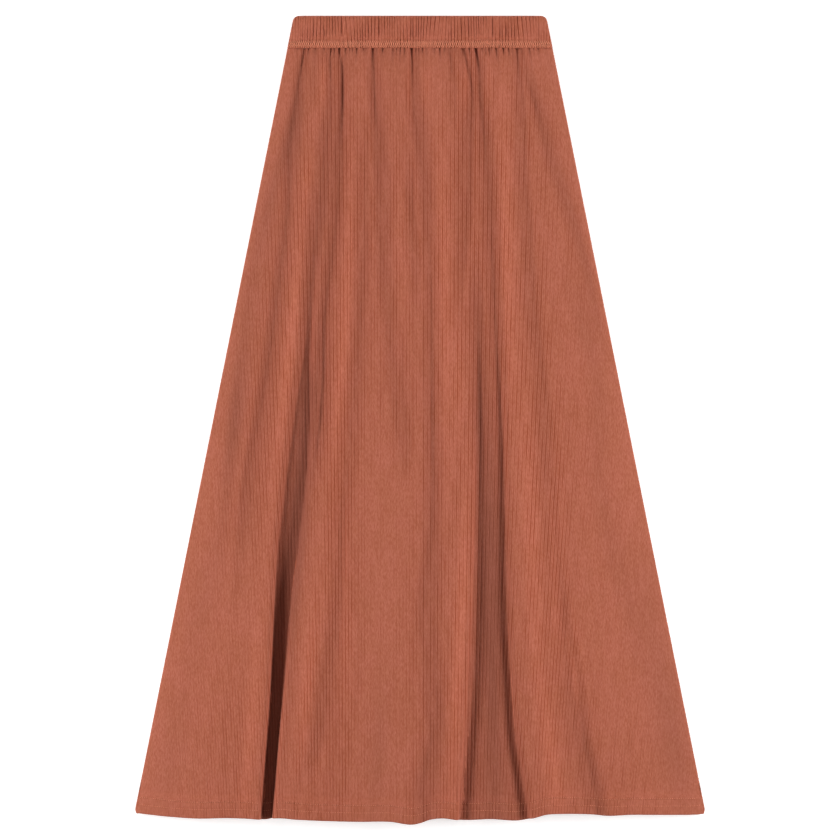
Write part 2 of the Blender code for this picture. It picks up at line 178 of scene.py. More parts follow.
# The surfaces. A groove's edges are parts of a rib's width, bumps and the height of a
# course of stitches are in millimetres, ranges are values of noise, and a tone makes a
# colour lighter or darker
GROOVE_EDGE = 0.28
FINE_GROOVE_EDGE = 0.16
FINE_GROOVE = 0.4
WALES_PER_RIB = 3.0
COURSE = 1.1
BUMP_GROOVE = 0.1
BUMP_STITCH = 0.03
BUMP_FUZZ = 0.12
FRONT_TONE = 1.0
BACK_TONE = 0.98
FRONT_CASING_TONE = 1.1
BACK_CASING_TONE = 1.0
STREAK_SHARE = 0.25
NOISE_RANGE = (0.3, 0.7)
WORN_RANGE = (0.36, 0.64)
UNEVEN_SHARES = (0.7, 1.15, 1.5)
# How strongly the painted highlight along the tops of rolls lightens the cloth, and toward what
# gain
PAINTED_HIGHLIGHT = 0.4
PAINTED_HIGHLIGHT_GAIN = 1.5
ROUGHNESS_CHANGE = 0.06
PLY_SCALE = 900.0
PLY_DISTORTION = 1.5
THREAD_TONES = (0.9, 1.1)
BUMP_PLY = 0.05

# The studio, in metres and watts: the photograph's frame is a little over a metre wide
FRAME_WIDTH = 1.008
FRAME_MIDDLE_Y = -0.0006
OUTLINE_HEIGHT = 0.003
SENSOR = 36.0
CLIP_SPAN = 10
FLOOR_SIZE = 16.0
FLOOR_DROP = 0.0003
FLOOR_GLOW = 0.4
FLOOR_GRAIN_TONE = 0.99
SIDE_LIGHT_REACH = 1.9
SIDE_LIGHT_UP = 0.1
SIDE_LIGHT_HEIGHT = 1.05
SIDE_LIGHT_SIZE = (2.6, 0.7)
TOP_LIGHT_HEIGHT = 2.6
TOP_LIGHT_SIZE = 1.6


class Station(NamedTuple):
    """Where a fold runs at one distance down, and how it is shaped there: the widths over
    which the cloth falls into it from its left and right, its depth, and how wide its foot
    is flat."""
    down: float
    across: float
    left: float
    right: float
    depth: float
    floor: float = 0


class Puff(NamedTuple):
    """How far the front stands above the back at one distance down."""
    down: float
    rise: float


class HemPoint(NamedTuple):
    """How far the hem reaches past the hem level at one place across."""
    across: float
    extra: float


class CasingRow(NamedTuple):
    """The casing at one distance down: its share of full thickness and of full gathers."""
    down: float
    rise: float
    ripple: float


class RowBand(NamedTuple):
    """The rows of a mesh from one distance down to another, a step apart."""
    start: float
    end: float
    step: float


class RibRow(NamedTuple):
    """The ribs at one share of the half width: how far apart they are at the hem, and how
    many degrees they lean to the right going down, at the waist and at the hem."""
    share: float
    pitch: float
    upper_lean: float
    lower_lean: float


class Tuck(NamedTuple):
    """A narrow groove where the elastic pulls the cloth in: where it starts and ends across,
    and its width, depth and length."""
    across: float
    end: float
    width: float
    depth: float
    length: float = CASING_HEIGHT


class Crease(NamedTuple):
    """A soft dent or, with a depth below zero, a soft swelling: its middle, its half sizes
    along and athwart, how many degrees it leans to the right going down, and its depth."""
    across: float
    down: float
    half_length: float
    half_width: float
    lean: float
    depth: float


class Lip(NamedTuple):
    """A fold whose lips lean over its floor: how far, and at which depths of the fold the
    lean starts and is full."""
    fold: str
    overhang: float
    starts_at: float
    full_at: float


class Patch(NamedTuple):
    """A place where the ribs stand out more: its middle, its half sizes and how much."""
    across: float
    down: float
    half_across: float
    half_down: float
    strength: float


class Wave(NamedTuple):
    """A wave across the skirt: its height, and its radians for half the width and at the
    centre front."""
    height: float
    rate: float
    start: float = 0


class Grain(NamedTuple):
    """The settings of a Noise node, and how much its pattern is stretched down the cloth."""
    scale: float
    detail: float = 2.0
    roughness: float = 0.5
    stretch: float = 1.0


def table_of(kind, *rows):
    """A table whose columns are the fields of a kind of row."""
    return tuple(kind(*row) for row in rows)


PUFF = table_of(
    Puff,
    (38, 4.8), (62, 7.5), (101, 9.5), (221, 10.5), (341, 12), (461, 15), (581, 17.5), (701, 20),
    (860, 21.5), (970, 21),
)

HEM_LINE = table_of(
    HemPoint,
    (-344, -11), (-342, -6.6), (-338, -5.8), (-326, -4.6), (-302, -2.5), (-266, -0.6), (-229, -1.4),
    (-199, -0.2), (-184, 1.2), (-175, -0.8), (-145, 0.6), (-108, 2), (-72, 2.8), (-36, 2.8),
    (-7, 6), (1, 4.6), (13, 0.4), (24, -1.2), (49, 1.4), (85, 0.2), (121, 1.5), (134, -0.8),
    (152, -5.6), (170, -6.5), (206, -5.6), (218, -4.3), (254, -5.2), (285, -4.8), (315, -4.4),
    (327, -4.3), (338, -5), (342, -6.2), (344, -11),
)

CASING_ROWS = table_of(
    CasingRow,
    (0, 0.45, 0.1), (0.8, 0.8, 0.5), (CASING_ROUNDING, 1, 0.8), (15, 1.05, 1), (24.5, 1, 0.8),
    (26.5, 0.72, 0.3), (29.5, 0.95, 0.5), (CASING_HEIGHT, 0.9, 0.7),
)

# The rows of a panel's mesh are closer where the cloth changes faster
ROW_BANDS = table_of(
    RowBand,
    (PANEL_TOP, 78, 2.6), (79, 150, 5), (152, 430, 9.5), (436, 700, 7), (704, 930, 9),
    (932, HEM_LEVEL - 3, 4.5),
)

# Each fold is a trough between two soft rolls
FOLDS = {
    "far_left": table_of(
        Station,
        (170, -170, 12, 14, 0), (240, -183, 12, 16, 3), (317, -201, 9, 20, 3.5),
        (413, -216, 9, 16, 4.5), (521, -226, 9, 12, 4), (605, -235, 10, 12, 2),
        (720, -246, 12, 14, 0),
    ),
    "left": table_of(
        Station,
        (38, -138, 5, 5, 4), (55, -141.5, 5, 6, 7.5), (101, -148.5, 6, 7, 10),
        (150, -155, 8, 7, 9.5), (220, -157, 8, 8, 8.5), (317, -168, 8, 10, 9),
        (461, -188, 8, 11, 9), (560, -206, 8, 12, 7), (650, -214, 10, 12, 2.5),
        (750, -220, 12, 12, 0),
    ),
    "left_tuck": table_of(
        Station,
        (38, -124.5, 3, 3, 1.5), (60, -127, 4, 4, 2.5), (90, -129.5, 4, 5, 2), (125, -132, 4, 5, 0),
    ),
    "left_pleat": table_of(
        Station,
        (38, -108, 4, 3, 1.5, 1), (55, -107.5, 4, 3.5, 3, 1), (101, -107, 6, 5, 4.5, 1),
        (173, -117, 10, 7, 5.5, 2), (269, -127, 9, 8, 6.5, 2), (341, -131, 9, 6.5, 7.5, 2),
        (400, -133.8, 8, 5, 8.5, 3), (461, -139.4, 5.5, 4, 9, 14), (521, -144.8, 4.5, 4, 9.5, 21),
        (581, -151, 4, 3.5, 10.5, 24), (641, -158, 3.5, 3, 12.5, 24), (701, -164, 3, 3, 15, 19),
        (761, -168, 3, 3, 17, 16.5), (821, -172.3, 3, 3, 18.5, 13.5), (881, -177.2, 3, 3, 19, 12.5),
        (929, -181, 3, 3, 19, 12.5), (968, -184.2, 3, 3, 18.5, 12),
    ),
    "left_pleat_inner": table_of(
        Station,
        (38, -97.5, 4, 4, 1.5), (55, -94, 5, 5, 4), (89, -92.5, 5.5, 5, 6.5),
        (150, -94.5, 7, 7, 5.5), (228, -98, 8, 8, 6), (305, -107, 8, 9, 6.5),
        (365, -114.5, 7, 9, 7), (437, -116.5, 6, 10, 7), (490, -120, 5, 9, 6), (533, -124, 4, 7, 3),
        (575, -128, 4, 6, 0),
    ),
    "left_centre": table_of(
        Station,
        (90, -68, 9, 6, 0), (150, -68, 9, 7, 3.5), (221, -69, 9, 8, 4.5), (317, -70.5, 9, 8, 5),
        (413, -76, 10, 9, 5.5), (510, -87, 11, 10, 6.5), (605, -94, 11, 9, 7),
        (725, -98, 12, 10, 6.5), (797, -112, 12, 10, 6), (870, -121, 12, 8, 5),
        (930, -141, 8, 8, 2), (968, -146, 8, 8, 1),
    ),
    "centre_left": table_of(
        Station,
        (38, -56, 4, 4.5, 2), (55, -56, 5, 5.5, 3.5), (101, -54.5, 6, 8, 5.5), (161, -49, 7, 10, 5),
        (221, -45, 9, 12, 4.5), (293, -41, 10, 12, 4.5), (365, -32, 11, 11, 4.5),
        (437, -25, 11, 9, 4.5), (509, -19, 9, 7, 3.5), (570, -17, 8, 6, 0),
    ),
    "centre": table_of(
        Station,
        (38, -9.8, 4.5, 6, 2), (55, -9.6, 5, 7, 3.5), (101, -8.6, 7, 10, 5.5),
        (137, -2, 8, 11, 5.5), (221, 9.6, 9, 8, 5), (293, 12.5, 7, 9, 5), (461, 14.5, 7.5, 9, 6),
        (581, 15, 8, 9, 6), (653, 12.5, 9, 11, 6), (725, 8.5, 12, 13, 4.5), (790, 15, 12, 9, 4.5),
        (860, 15.5, 8, 13, 5.5), (930, 4, 9, 14, 6), (968, 4.8, 8, 10, 6),
    ),
    "centre_tuck": table_of(
        Station,
        (140, -12, 6, 4, 0), (200, -11, 6, 4, 3), (265, -7, 6, 5, 3), (320, -4, 6, 5, 2),
        (390, -3, 6, 5, 0),
    ),
    "right_tuck": table_of(
        Station,
        (38, 32, 3, 3, 1), (50, 37, 3.5, 3.5, 2), (70, 39, 4, 4, 2), (150, 38, 4, 4, 1),
        (230, 37, 5, 5, 0),
    ),
    "right_centre": table_of(
        Station,
        (38, 52, 4, 4, 2), (55, 56, 5, 5, 4), (83, 61, 7, 5, 6), (101, 62, 8, 5, 6),
        (161, 58, 10, 6, 4.5), (221, 56, 12, 6, 4), (293, 50, 9, 6, 3.5), (341, 45, 8, 6, 2),
        (400, 44, 8, 5, 0),
    ),
    "right_pleat_inner": table_of(
        Station,
        (270, 66, 7, 7, 0), (340, 68, 8, 7, 4.5), (400, 69.8, 7, 7, 5.5), (461, 70.8, 6.5, 8, 6.5),
        (521, 71.3, 7, 10, 7), (581, 71.3, 8, 11, 7), (653, 70, 7, 13, 7), (725, 67.5, 5, 15, 7),
        (797, 64.5, 4, 15, 7), (869, 58, 3.5, 14, 7), (929, 51.8, 3.5, 14, 7),
        (968, 48.5, 3.5, 14, 7),
    ),
    "right_pleat_floor": table_of(
        Station,
        (300, 80, 4, 4, 0, 10), (437, 83, 4, 4, 1.5, 24), (509, 84.5, 4, 3.5, 3, 30),
        (581, 84.7, 3.5, 3, 4.5, 34), (653, 84.7, 3, 3, 6, 38), (725, 84.5, 3, 3, 7.5, 43),
        (797, 84.2, 3, 3, 8, 51), (869, 85, 3, 3, 8, 61), (929, 88, 3, 3, 8, 75),
        (968, 89.2, 3, 3, 8, 84),
    ),
    "right_pleat": table_of(
        Station,
        (38, 67, 4, 4, 1.5), (55, 70, 5, 5, 3.5), (101, 73, 7, 6, 6), (161, 78.5, 8, 8, 5.5),
        (221, 84, 9, 8, 5.5), (293, 86.5, 8, 8, 6), (365, 90, 7, 8, 5.5), (437, 94.5, 8, 6.5, 6.5),
        (509, 99, 11, 4.5, 6.5), (581, 101, 12, 4, 6.5), (653, 101.8, 12, 4, 6.5),
        (725, 104, 11, 3.5, 6.5), (797, 108.5, 10, 3.5, 6.5), (869, 114.3, 10, 3.5, 6.5),
        (929, 124, 11, 3.5, 6.5), (968, 130, 12, 3.5, 6.5),
    ),
    "right": table_of(
        Station,
        (38, 115.5, 4, 4, 2.5), (55, 117.5, 5, 4, 3.5), (101, 121, 7, 5, 4), (161, 121.5, 9, 6, 4),
        (293, 130, 9, 7, 4), (365, 134, 9, 8, 4), (437, 145, 14, 6, 3), (509, 149, 11, 12, 3.5),
        (581, 157, 10, 8, 4), (653, 160, 10, 8, 4), (725, 173, 8, 7, 5), (797, 187, 15, 8, 6),
        (869, 194.5, 14, 8, 7), (929, 207.5, 15, 9, 7), (968, 215, 12, 8, 7),
    ),
    "far_right": table_of(
        Station,
        (40, 122, 3, 4, 1.5), (75, 130, 5, 7, 4.5), (101, 137, 6, 9, 6.5), (161, 155, 10, 10, 6.5),
        (221, 176, 11, 8, 6), (290, 198, 10, 5, 5), (365, 214, 12, 4, 3), (430, 226, 12, 4, 0),
    ),
    "low_right": table_of(
        Station,
        (400, 212, 12, 14, 0), (480, 212, 12, 14, 2), (560, 212, 12, 14, 2), (653, 232, 14, 14, 2),
        (725, 250, 12, 14, 1.5), (820, 262, 12, 14, 0),
    ),
}

RIB_FIELD = table_of(
    RibRow,
    (-1, 3, 2.5, 4.5), (-0.75, 3.1, 1.2, 3.5), (-0.5, 3.4, 0.3, 1.5), (-0.25, 3.7, 0, 0),
    (0, 4, 0, 0), (0.25, 3.8, 0, -1.5), (0.5, 3.4, -0.6, -4), (0.75, 3.1, -1.5, -6),
    (1, 2.9, -2.5, -7.5),
)

# The tucks of the front panel, and the stronger ones of the casing, which run from its top
# edge to the panel
TUCKS = table_of(
    Tuck,
    (-139, -147, 3.2, 1.5, 80), (-119, -127, 2.6, 1.2, 48), (-106.5, -107, 2.4, 1.2, 60),
    (-146.5, -149, 1.9, 1.2, 28), (-133, -135, 1.7, 1.1, 20), (-124.5, -128.5, 1.8, 0.7, 65),
    (-113.5, -107.5, 2.5, 1.5, 38), (-103.2, -101, 2.1, 1.4, 28), (-98, -91.5, 2.5, 1.5, 38),
    (-89.2, -88, 2.3, 1.5, 15), (-82, -82.5, 1.5, 0.9, 18), (-75.2, -75, 1.8, 1.4, 38),
    (-67.7, -68, 1.5, 1.2, 18), (-64.5, -63.5, 1.4, 1.2, 22), (-56, -55, 2.6, 1.6, 50),
    (-45, -44.5, 1.4, 0.9, 18), (-36.5, -36, 1.4, 0.9, 20), (-29.2, -28.5, 2, 1.4, 20),
    (-19.4, -19, 1.5, 1.1, 18), (-10.4, -10, 2.6, 1.6, 55), (-1.8, -2, 1.2, 1.1, 88),
    (4.1, 4.5, 1.4, 1.1, 18), (9.5, 10, 1.5, 1.1, 25), (17, 17.5, 1.4, 0.9, 15),
    (24, 25, 2, 1.4, 20), (31.6, 40, 2.3, 1.5, 42), (44.4, 47, 2, 1.6, 18),
    (51.8, 61.5, 2.3, 1.5, 55), (58.3, 61, 2, 1.4, 15), (66.8, 72.5, 2.5, 1.6, 38),
    (75.5, 77, 1.4, 1.1, 15), (82.8, 84, 1.5, 1.2, 15), (90.5, 93.5, 2.1, 1.4, 32),
    (99.6, 102, 2.1, 1.6, 20), (107.5, 108.5, 1.4, 0.9, 12), (115, 118, 2.2, 1.4, 42),
    (121, 127, 2.2, 1.6, 50), (132, 134, 1.5, 1.2, 18), (141.6, 143.5, 1.5, 1.2, 18),
    (149.5, 151.5, 1.5, 0.8, 15),
)

CASING_TUCKS = table_of(
    Tuck,
    (-128, -127, 1.5, 0.5), (-120, -110, 1.7, 0.8), (-95, -93, 1.7, 0.8), (-86, -82, 1.4, 0.5),
    (-71.5, -68.5, 1.5, 0.7), (-64, -58, 1.7, 0.8), (-50, -48, 1.4, 0.5), (-37, -37, 1.5, 0.6),
    (-30, -22, 1.4, 0.6), (-10.4, -9, 1.8, 0.8), (-1.2, 0, 1.7, 0.8), (17, 17.5, 1.7, 0.8),
    (25, 23, 1.4, 0.5), (31.6, 33, 1.5, 0.6), (36.8, 37.5, 1.4, 0.5), (48.6, 53, 1.7, 0.7),
    (59.4, 60, 1.7, 0.8), (69, 73, 1.5, 0.6), (87.7, 86, 1.7, 0.8), (96.8, 96.3, 1.7, 0.8),
    (105, 101.5, 1.5, 0.6), (117, 111, 1.7, 0.7), (126, 124, 1.5, 0.6), (144, 139.5, 1.5, 0.6),
)

# Small creases of the front, and the soft ones of the back, which rests on the surface and
# is lifted off it along them
FRONT_CREASES = table_of(
    Crease,
    (104, 352, 26, 3, 68, 0.6), (128, 358, 20, 3, 72, 0.5), (214, 938, 22, 3.5, -12, 0.7),
    (262, 560, 60, 9, -8, 0.6), (-262, 640, 70, 10, 10, 0.6), (-238, 420, 40, 5, 16, 0.5),
    (30, 620, 90, 9, 2, 0.6), (-48, 860, 80, 9, 4, 0.6), (150, 560, 60, 6, -6, 0.5),
    (236, 760, 80, 10, -12, 0.6),
)

BACK_CREASES = table_of(
    Crease,
    (-96, 240, 150, 6, -5, -1.6), (-30, 190, 120, 5, -1, -1.4), (44, 230, 140, 6, 3, -1.6),
    (112, 260, 150, 6, 6, -1.4), (-122, 600, 210, 8, -6, -1.2), (-40, 640, 240, 9, -3, -1.2),
    (70, 600, 220, 8, 4, -1.2), (190, 620, 230, 9, 10, -1.2), (-236, 760, 150, 8, -11, -1),
    (120, 850, 90, 8, 7, -1),
)

# Painted shade on the front's cloth where a fold would shade it, and, with a depth below zero,
# painted highlight along the top of a roll; the depth is how strong the paint is
PAINTED_SHADE_AND_HIGHLIGHT_SPOTS = table_of(
    Crease,
    (-146, 615, 175, 10, -5.5, 1.15), (85, 700, 230, 13, 1, 0.7), (-166, 172, 90, 8, -15, 0.4),
    (-146, 140, 50, 6, -6, 0.5), (-113, 220, 110, 7, -8, 0.4), (-262, 700, 80, 20, -11, 0.2),
    (276, 720, 100, 24, 11, 0.25), (-221, 484, 60, 10, -8, 0.35), (198, 380, 70, 12, 14, 0.25),
    (306, 870, 100, 24, 10, 0.45), (-300, 880, 90, 20, -10, 0.2), (-50, 880, 80, 12, -4, 0.25),
    (-93, 440, 260, 10, -3.5, -1), (28, 330, 190, 12, 1, -0.8), (47, 760, 200, 9, -3, -1.1),
    (134, 640, 200, 12, 3, -0.8), (158, 890, 90, 12, 7, -0.9), (-156, 400, 170, 8, -6.5, -0.8),
    (104, 290, 190, 10, 1.5, -0.9), (-24, 320, 120, 9, 1, -0.4), (-134, 800, 110, 10, -5, -0.9),
    (-202, 860, 120, 10, -5, -0.7), (187, 772, 60, 8, 8, -0.8), (-115, 78, 30, 5, 0, -0.6),
    (-14, 90, 30, 5, 0, -0.6), (8, 80, 30, 6, 0, -0.5), (53, 80, 30, 6, 0, -0.6),
    (82, 80, 30, 5, 0, -0.5), (163, 640, 130, 9, 0, -0.6), (47, 440, 80, 7, 0, -0.5),
    (-89, 720, 100, 8, 0, -0.5), (-134, 196, 30, 6, -10, -0.6), (-134, 470, 50, 8, -8, 0.4),
    (68, 480, 60, 6, 0, 0.4),
)

LIPS = table_of(
    Lip,
    ("left_pleat", 1.8, 8, 14), ("right_pleat_floor", 0.7, 2, 7),
)

RIB_PATCHES = table_of(
    Patch,
    (150, 700, 22, 270, 0.75), (-112, 860, 36, 130, 0.9), (20, 830, 30, 150, 0.5),
    (-170, 420, 30, 180, 0.5), (250, 900, 40, 90, 0.4), (-290, 800, 30, 160, 0.3),
    (60, 300, 26, 220, 0.6), (-95, 600, 20, 240, 0.6), (-222, 880, 40, 110, 0.6),
    (128, 420, 24, 160, 0.4), (-190, 952, 150, 16, 0.35), (170, 952, 170, 16, 0.35),
)

# What makes the gathers and the ribs of the casing uneven
GATHER_DRIFT = table_of(Wave, (0.3, 20.7), (0.18, 44.6, 1))
FINE_GATHER_DRIFT = table_of(Wave, (0.6, 11.3, 0.5), (0.35, 37))
CASING_SLANT = table_of(Wave, (0.35, 5.2, 1), (0.4, 13))
CASING_DRIFT = table_of(Wave, (0.5, 9.3, 2), (0.3, 27))

# The grains of the knit's dye, of its yarn along and across the stitches and of its nap,
# and those of the thread and the floor
MOTTLE = Grain(34.0, 3.0, 0.55)
STREAKS = Grain(380.0, 2.0, 0.6, stretch=0.1)
FLECKS = Grain(880.0, 1.0, 0.6, stretch=0.25)
FUZZ = Grain(900.0, 2.0, 0.7)
THREAD_GRAIN = Grain(300.0)
FLOOR_GRAIN = Grain(6.0)


def smooth(table, column, place, key="down"):
    """The value of a column on a smooth curve through a table's rows."""
    at = np.array([getattr(row, key) for row in table], dtype=float)
    value = np.array([getattr(row, column) for row in table], dtype=float)
    slope = np.gradient(value, at)
    place = np.clip(place, at[0], at[-1])
    i = np.clip(np.searchsorted(at, place) - 1, 0, len(at) - 2)
    step = at[i + 1] - at[i]
    t = (place - at[i]) / step
    rise = t * t * (3 - 2 * t)
    return (value[i] * (1 - rise) + value[i + 1] * rise
            + step * t * (1 - t) * (slope[i] * (1 - t) - slope[i + 1] * t))


def smoothstep(low, high, value):
    """0 below low, 1 above high, and a soft rise between them."""
    t = np.clip((value - low) / (high - low), 0, 1)
    return t * t * (3 - 2 * t)


def half_width(down):
    """Half the width of the laid skirt: its side lines are straight."""
    return HALF_WAIST + FLARE * down


def bell(aside, along=0):
    """1 at the middle, falling off on both sides like a bell."""
    return np.exp(-aside ** 2 - along ** 2)


def waves(table, place):
    """The sum of a table's waves at a place."""
    return sum(wave.height * np.sin(wave.rate * place + wave.start) for wave in table)


def calm_sides(share, power=SIDE_CALM):
    """1 across the skirt, falling to 0 at its sides."""
    return 1 - share ** power


def near_casing(down):
    """1 at the lower edge of the casing, fading out below it."""
    return np.exp(-(down - CASING_HEIGHT) / GATHER_FADE)


def beside(fold, across, down):
    """How far a point is from a fold's line, and the fold's width on that side."""
    offset = across - smooth(fold, "across", down)
    return offset, np.where(offset < 0, smooth(fold, "left", down), smooth(fold, "right", down))


def valley(fold, down):
    """How much of a valley a fold is at a distance down, from 0 to 1."""
    return np.clip(smooth(fold, "depth", down) / VALLEY_FULL_AT, 0, 1)


def trough(fold, across, down):
    """How much of a fold's depth is reached at a point, from 0 to 1."""
    offset, side = beside(fold, across, down)
    return bell(np.maximum(np.abs(offset) - smooth(fold, "floor", down) / 2, 0) / side)


def hem_down(share):
    """How far down the hem's edge is at a share of the half width."""
    return HEM_LEVEL + smooth(HEM_LINE, "extra", share * half_width(HEM_LEVEL), key="across")


def back_hem_down(share):
    """How far down the edge of the back's hem is, a little short of the front's."""
    return hem_down(share) - HEM_INSET


def turned_up(share, down):
    """1 on the hem, where the cloth is double, and 0 above it."""
    above_hem = hem_down(share) - down
    left = HEM_ALLOWANCE + HEM_RAMP_END - above_hem
    return np.clip(left / (HEM_RAMP_END - HEM_RAMP_FOOT), 0, 1)


def front_height(across, down):
    """Height of the face of the front panel, without its gathers, tucks and ribs."""
    share = across / half_width(down)
    puff = smooth(PUFF, "rise", down)
    height = puff * (1 - np.minimum(np.abs(share), 1) ** CROWN_POWER)
    for fold in FOLDS.values():
        taken = np.clip(smooth(fold, "depth", down) / puff, 0, 1 - LEAST_LEFT_OF_PUFF)
        height = height * (1 - taken * trough(fold, across, down))
    return 2 * CLOTH * (1 + turned_up(share, down)) + LAID_GAP + height


def gather(share):
    """Height of the gathers' ripple at a share of the half width, dying out at the sides."""
    turn = GATHERS * (share + 1) / 2 + waves(GATHER_DRIFT, share)
    return GATHER_RISE * (0.5 + 0.5 * np.cos(2 * np.pi * turn)) * calm_sides(share)


def fine_gathers(across, down):
    """How deep the fine gathers just under the casing are at a point. They are unevenly
    spaced and of uneven length."""
    share = across / half_width(down)
    turn = FINE_GATHERS * (share + 1) / 2 + waves(FINE_GATHER_DRIFT, share)
    change = FINE_GATHER_CHANGE * np.sin(FINE_GATHER_TURN * np.round(turn))
    reach = FINE_GATHER_FADE * (1 + change)
    depth = FINE_GATHER_RISE * (0.5 + 0.5 * np.cos(2 * np.pi * turn)) ** FINE_GATHER_POWER
    return depth * np.exp(-(down - CASING_HEIGHT) / reach) * calm_sides(share)


def tuck_depth(tucks, across, down, fading):
    """How deep a table's tucks are at a point. down is measured from where they start, and
    they get shallow the sooner the more fading there is."""
    depth = np.zeros_like(across)
    for tuck in tucks:
        way = np.clip(down / tuck.length, 0, 1)
        line = tuck.across + (tuck.end - tuck.across) * way
        here = tuck.depth * (1 - way) ** fading * bell((across - line) / tuck.width)
        depth = np.maximum(depth, here)
    return depth


def tucked(across, down):
    """How deep the tucks under the casing are at a point."""
    return tuck_depth(TUCKS, across, down - CASING_HEIGHT, TUCK_FADE)


def creased(creases, across, down):
    """How deep a table's creases are at a point."""
    depth = np.zeros_like(across)
    for crease in creases:
        lean = np.radians(crease.lean)
        aside, below = across - crease.across, down - crease.down
        along = aside * np.sin(lean) + below * np.cos(lean)
        athwart = aside * np.cos(lean) - below * np.sin(lean)
        depth += crease.depth * bell(along / crease.half_length, athwart / crease.half_width)
    return depth


def front_face(across, down):
    """Height of the front's face without its ribs."""
    share = across / half_width(down)
    pinched = PINCH * bell((down - CASING_HEIGHT) / PINCH_REACH) * calm_sides(share)
    return (front_height(across, down) + GATHER_SHARE_BELOW * gather(share) * near_casing(down)
            - tucked(across, down) - fine_gathers(across, down)
            - creased(FRONT_CREASES, across, down) - pinched)


def rib_strength(across, down):
    """How strongly the ribs stand out on the front, from 0 to 1: more where the cloth is
    pressed together in a valley, and in some patches."""
    strength = np.full_like(across, PLAIN_RIB)
    for fold in FOLDS.values():
        offset, side = beside(fold, across, down)
        reach = smooth(fold, "floor", down) / 2 + VALLEY_WIDTH * side
        strength += VALLEY_RIB * valley(fold, down) * bell(offset / reach)
    for patch in RIB_PATCHES:
        strength += patch.strength * bell((across - patch.across) / patch.half_across,
                                          (down - patch.down) / patch.half_down)
    return np.clip(strength, 0, 1)


def uneven(turn, down):
    """How strongly each rib shows at each distance down, about 1: no two ribs are alike."""
    rib = np.round(turn)
    each = np.sin(rib * SCATTER[0]) * SCATTER[1]
    each = each - np.floor(each)
    long_wave, short_wave = (np.sin(down / spell + rib * shift)
                             for spell, shift in zip(SPELLS, SPELL_SHIFTS))
    return LEAST_RIB + RIB_CHANGE * each + RIB_CHANGE * (long_wave * short_wave)


def groove(turn):
    """1 in the narrow groove between two ribs and 0 on the broad ridge of a rib."""
    return bell(np.abs(turn - np.round(turn)) / GROOVE_WIDTH)


def lip_overhang(across, down):
    """How far the lips of the deep pleats lean over their floors, most of all halfway down
    a pleat's side."""
    total = np.zeros_like(across)
    for lip in LIPS:
        fold = FOLDS[lip.fold]
        reached = trough(fold, across, down)
        deep = smoothstep(lip.starts_at, lip.full_at, smooth(fold, "depth", down))
        towards = np.sign(smooth(fold, "across", down) - across)
        total += towards * lip.overhang * deep * 4 * reached * (1 - reached)
    return total


def hollow(across, down):
    """How much painted shade the cloth gets where a fold would shade it, up to 1: most of all
    inside the deep left pleat. Below 0 it gets painted highlight instead, along the tops of rolls."""
    painted_dark = np.zeros_like(across)
    for fold in FOLDS.values():
        painted_dark = np.maximum(painted_dark, VALLEY_PAINTED_SHADE * valley(fold, down) * trough(fold, across, down))
    painted_dark = painted_dark + TUCK_PAINTED_SHADE * tucked(across, down) + FINE_GATHER_PAINTED_SHADE * fine_gathers(across, down)
    fold = FOLDS["left_pleat"]
    deep = smoothstep(*PAINTED_SHADE_DEPTHS, smooth(fold, "depth", down))
    deep = deep * smoothstep(*PAINTED_SHADE_REACHED, trough(fold, across, down))
    painted_dark = np.clip(np.maximum(painted_dark, deep), 0, 1)
    return np.clip(painted_dark + creased(PAINTED_SHADE_AND_HIGHLIGHT_SPOTS, across, down), -1, 1)


def hem_columns():
    """Where each mesh column meets the hem level, and the number of its rib there."""
    half = half_width(HEM_LEVEL)
    sides = []
    for way in (-1, 1):
        places = [0.0]
        while abs(places[-1]) < half:
            pitch = smooth(RIB_FIELD, "pitch", places[-1] / half, key="share")
            places.append(places[-1] + way * float(pitch) / COLUMNS_PER_RIB)
        sides.append(places)
    places = np.array(sides[0][:0:-1] + sides[1])
    return places, (np.arange(len(places)) - len(sides[0]) + 1) / COLUMNS_PER_RIB


def rib_rows(rows):
    """For each row, from the top down, the share and the rib number of every point from one
    side seam to the other. The columns follow the ribs, so a side seam cuts them off."""
    places, turns = hem_columns()
    found = []
    level = HEM_LEVEL
    for down in reversed(rows):
        share = places / half_width(level)
        blend = smoothstep(0, LENGTH, level)
        lean = (smooth(RIB_FIELD, "upper_lean", share, key="share") * (1 - blend)
                + smooth(RIB_FIELD, "lower_lean", share, key="share") * blend)
        places = places - np.tan(np.radians(lean)) * (level - down)
        level = down
        half = half_width(down)
        kept = np.abs(places) < half - LEAST_STRIP
        share = np.concatenate([[-1], places[kept] / half, [1]])
        ends = np.interp([-half, half], places, turns)
        turn = np.concatenate([ends[:1], turns[kept], ends[1:]])
        found.append((share, turn, np.flatnonzero(kept)))
    return found[::-1]


def to_world(across, down, height):
    """Points in metres, with the origin under the middle of the laid skirt."""
    return np.stack([across, LENGTH / 2 - down, height], axis=-1) * MM


def add_mesh(name, points, faces, material, values=None):
    """A smooth mesh object with one material and its values for each point by name."""
    mesh = bpy.data.meshes.new(name)
    faces = [tuple(int(i) for i in face) for face in faces]
    mesh.from_pydata(np.asarray(points).tolist(), [], faces)
    mesh.materials.append(material)
    for key, numbers in (values or {}).items():
        layer = mesh.attributes.new(key, "FLOAT", "POINT")
        layer.data.foreach_set("value", np.asarray(numbers, dtype=np.float32).ravel())
    shape = bmesh.new()
    shape.from_mesh(mesh)
    bmesh.ops.recalc_face_normals(shape, faces=shape.faces)
    shape.to_mesh(mesh)
    shape.free()
    mesh.shade_smooth()
    mesh.set_sharp_from_angle(angle=SHARP_FROM)
    piece = bpy.data.objects.new(name, mesh)
    bpy.context.scene.collection.objects.link(piece)
    return piece


def grid_faces(rows, columns, start=0):
    """The four-sided faces of a grid of points that are numbered row by row."""
    faces = []
    for row in range(rows - 1):
        for column in range(columns - 1):
            a = start + row * columns + column
            faces.append((a, a + columns, a + columns + 1, a + 1))
    return faces


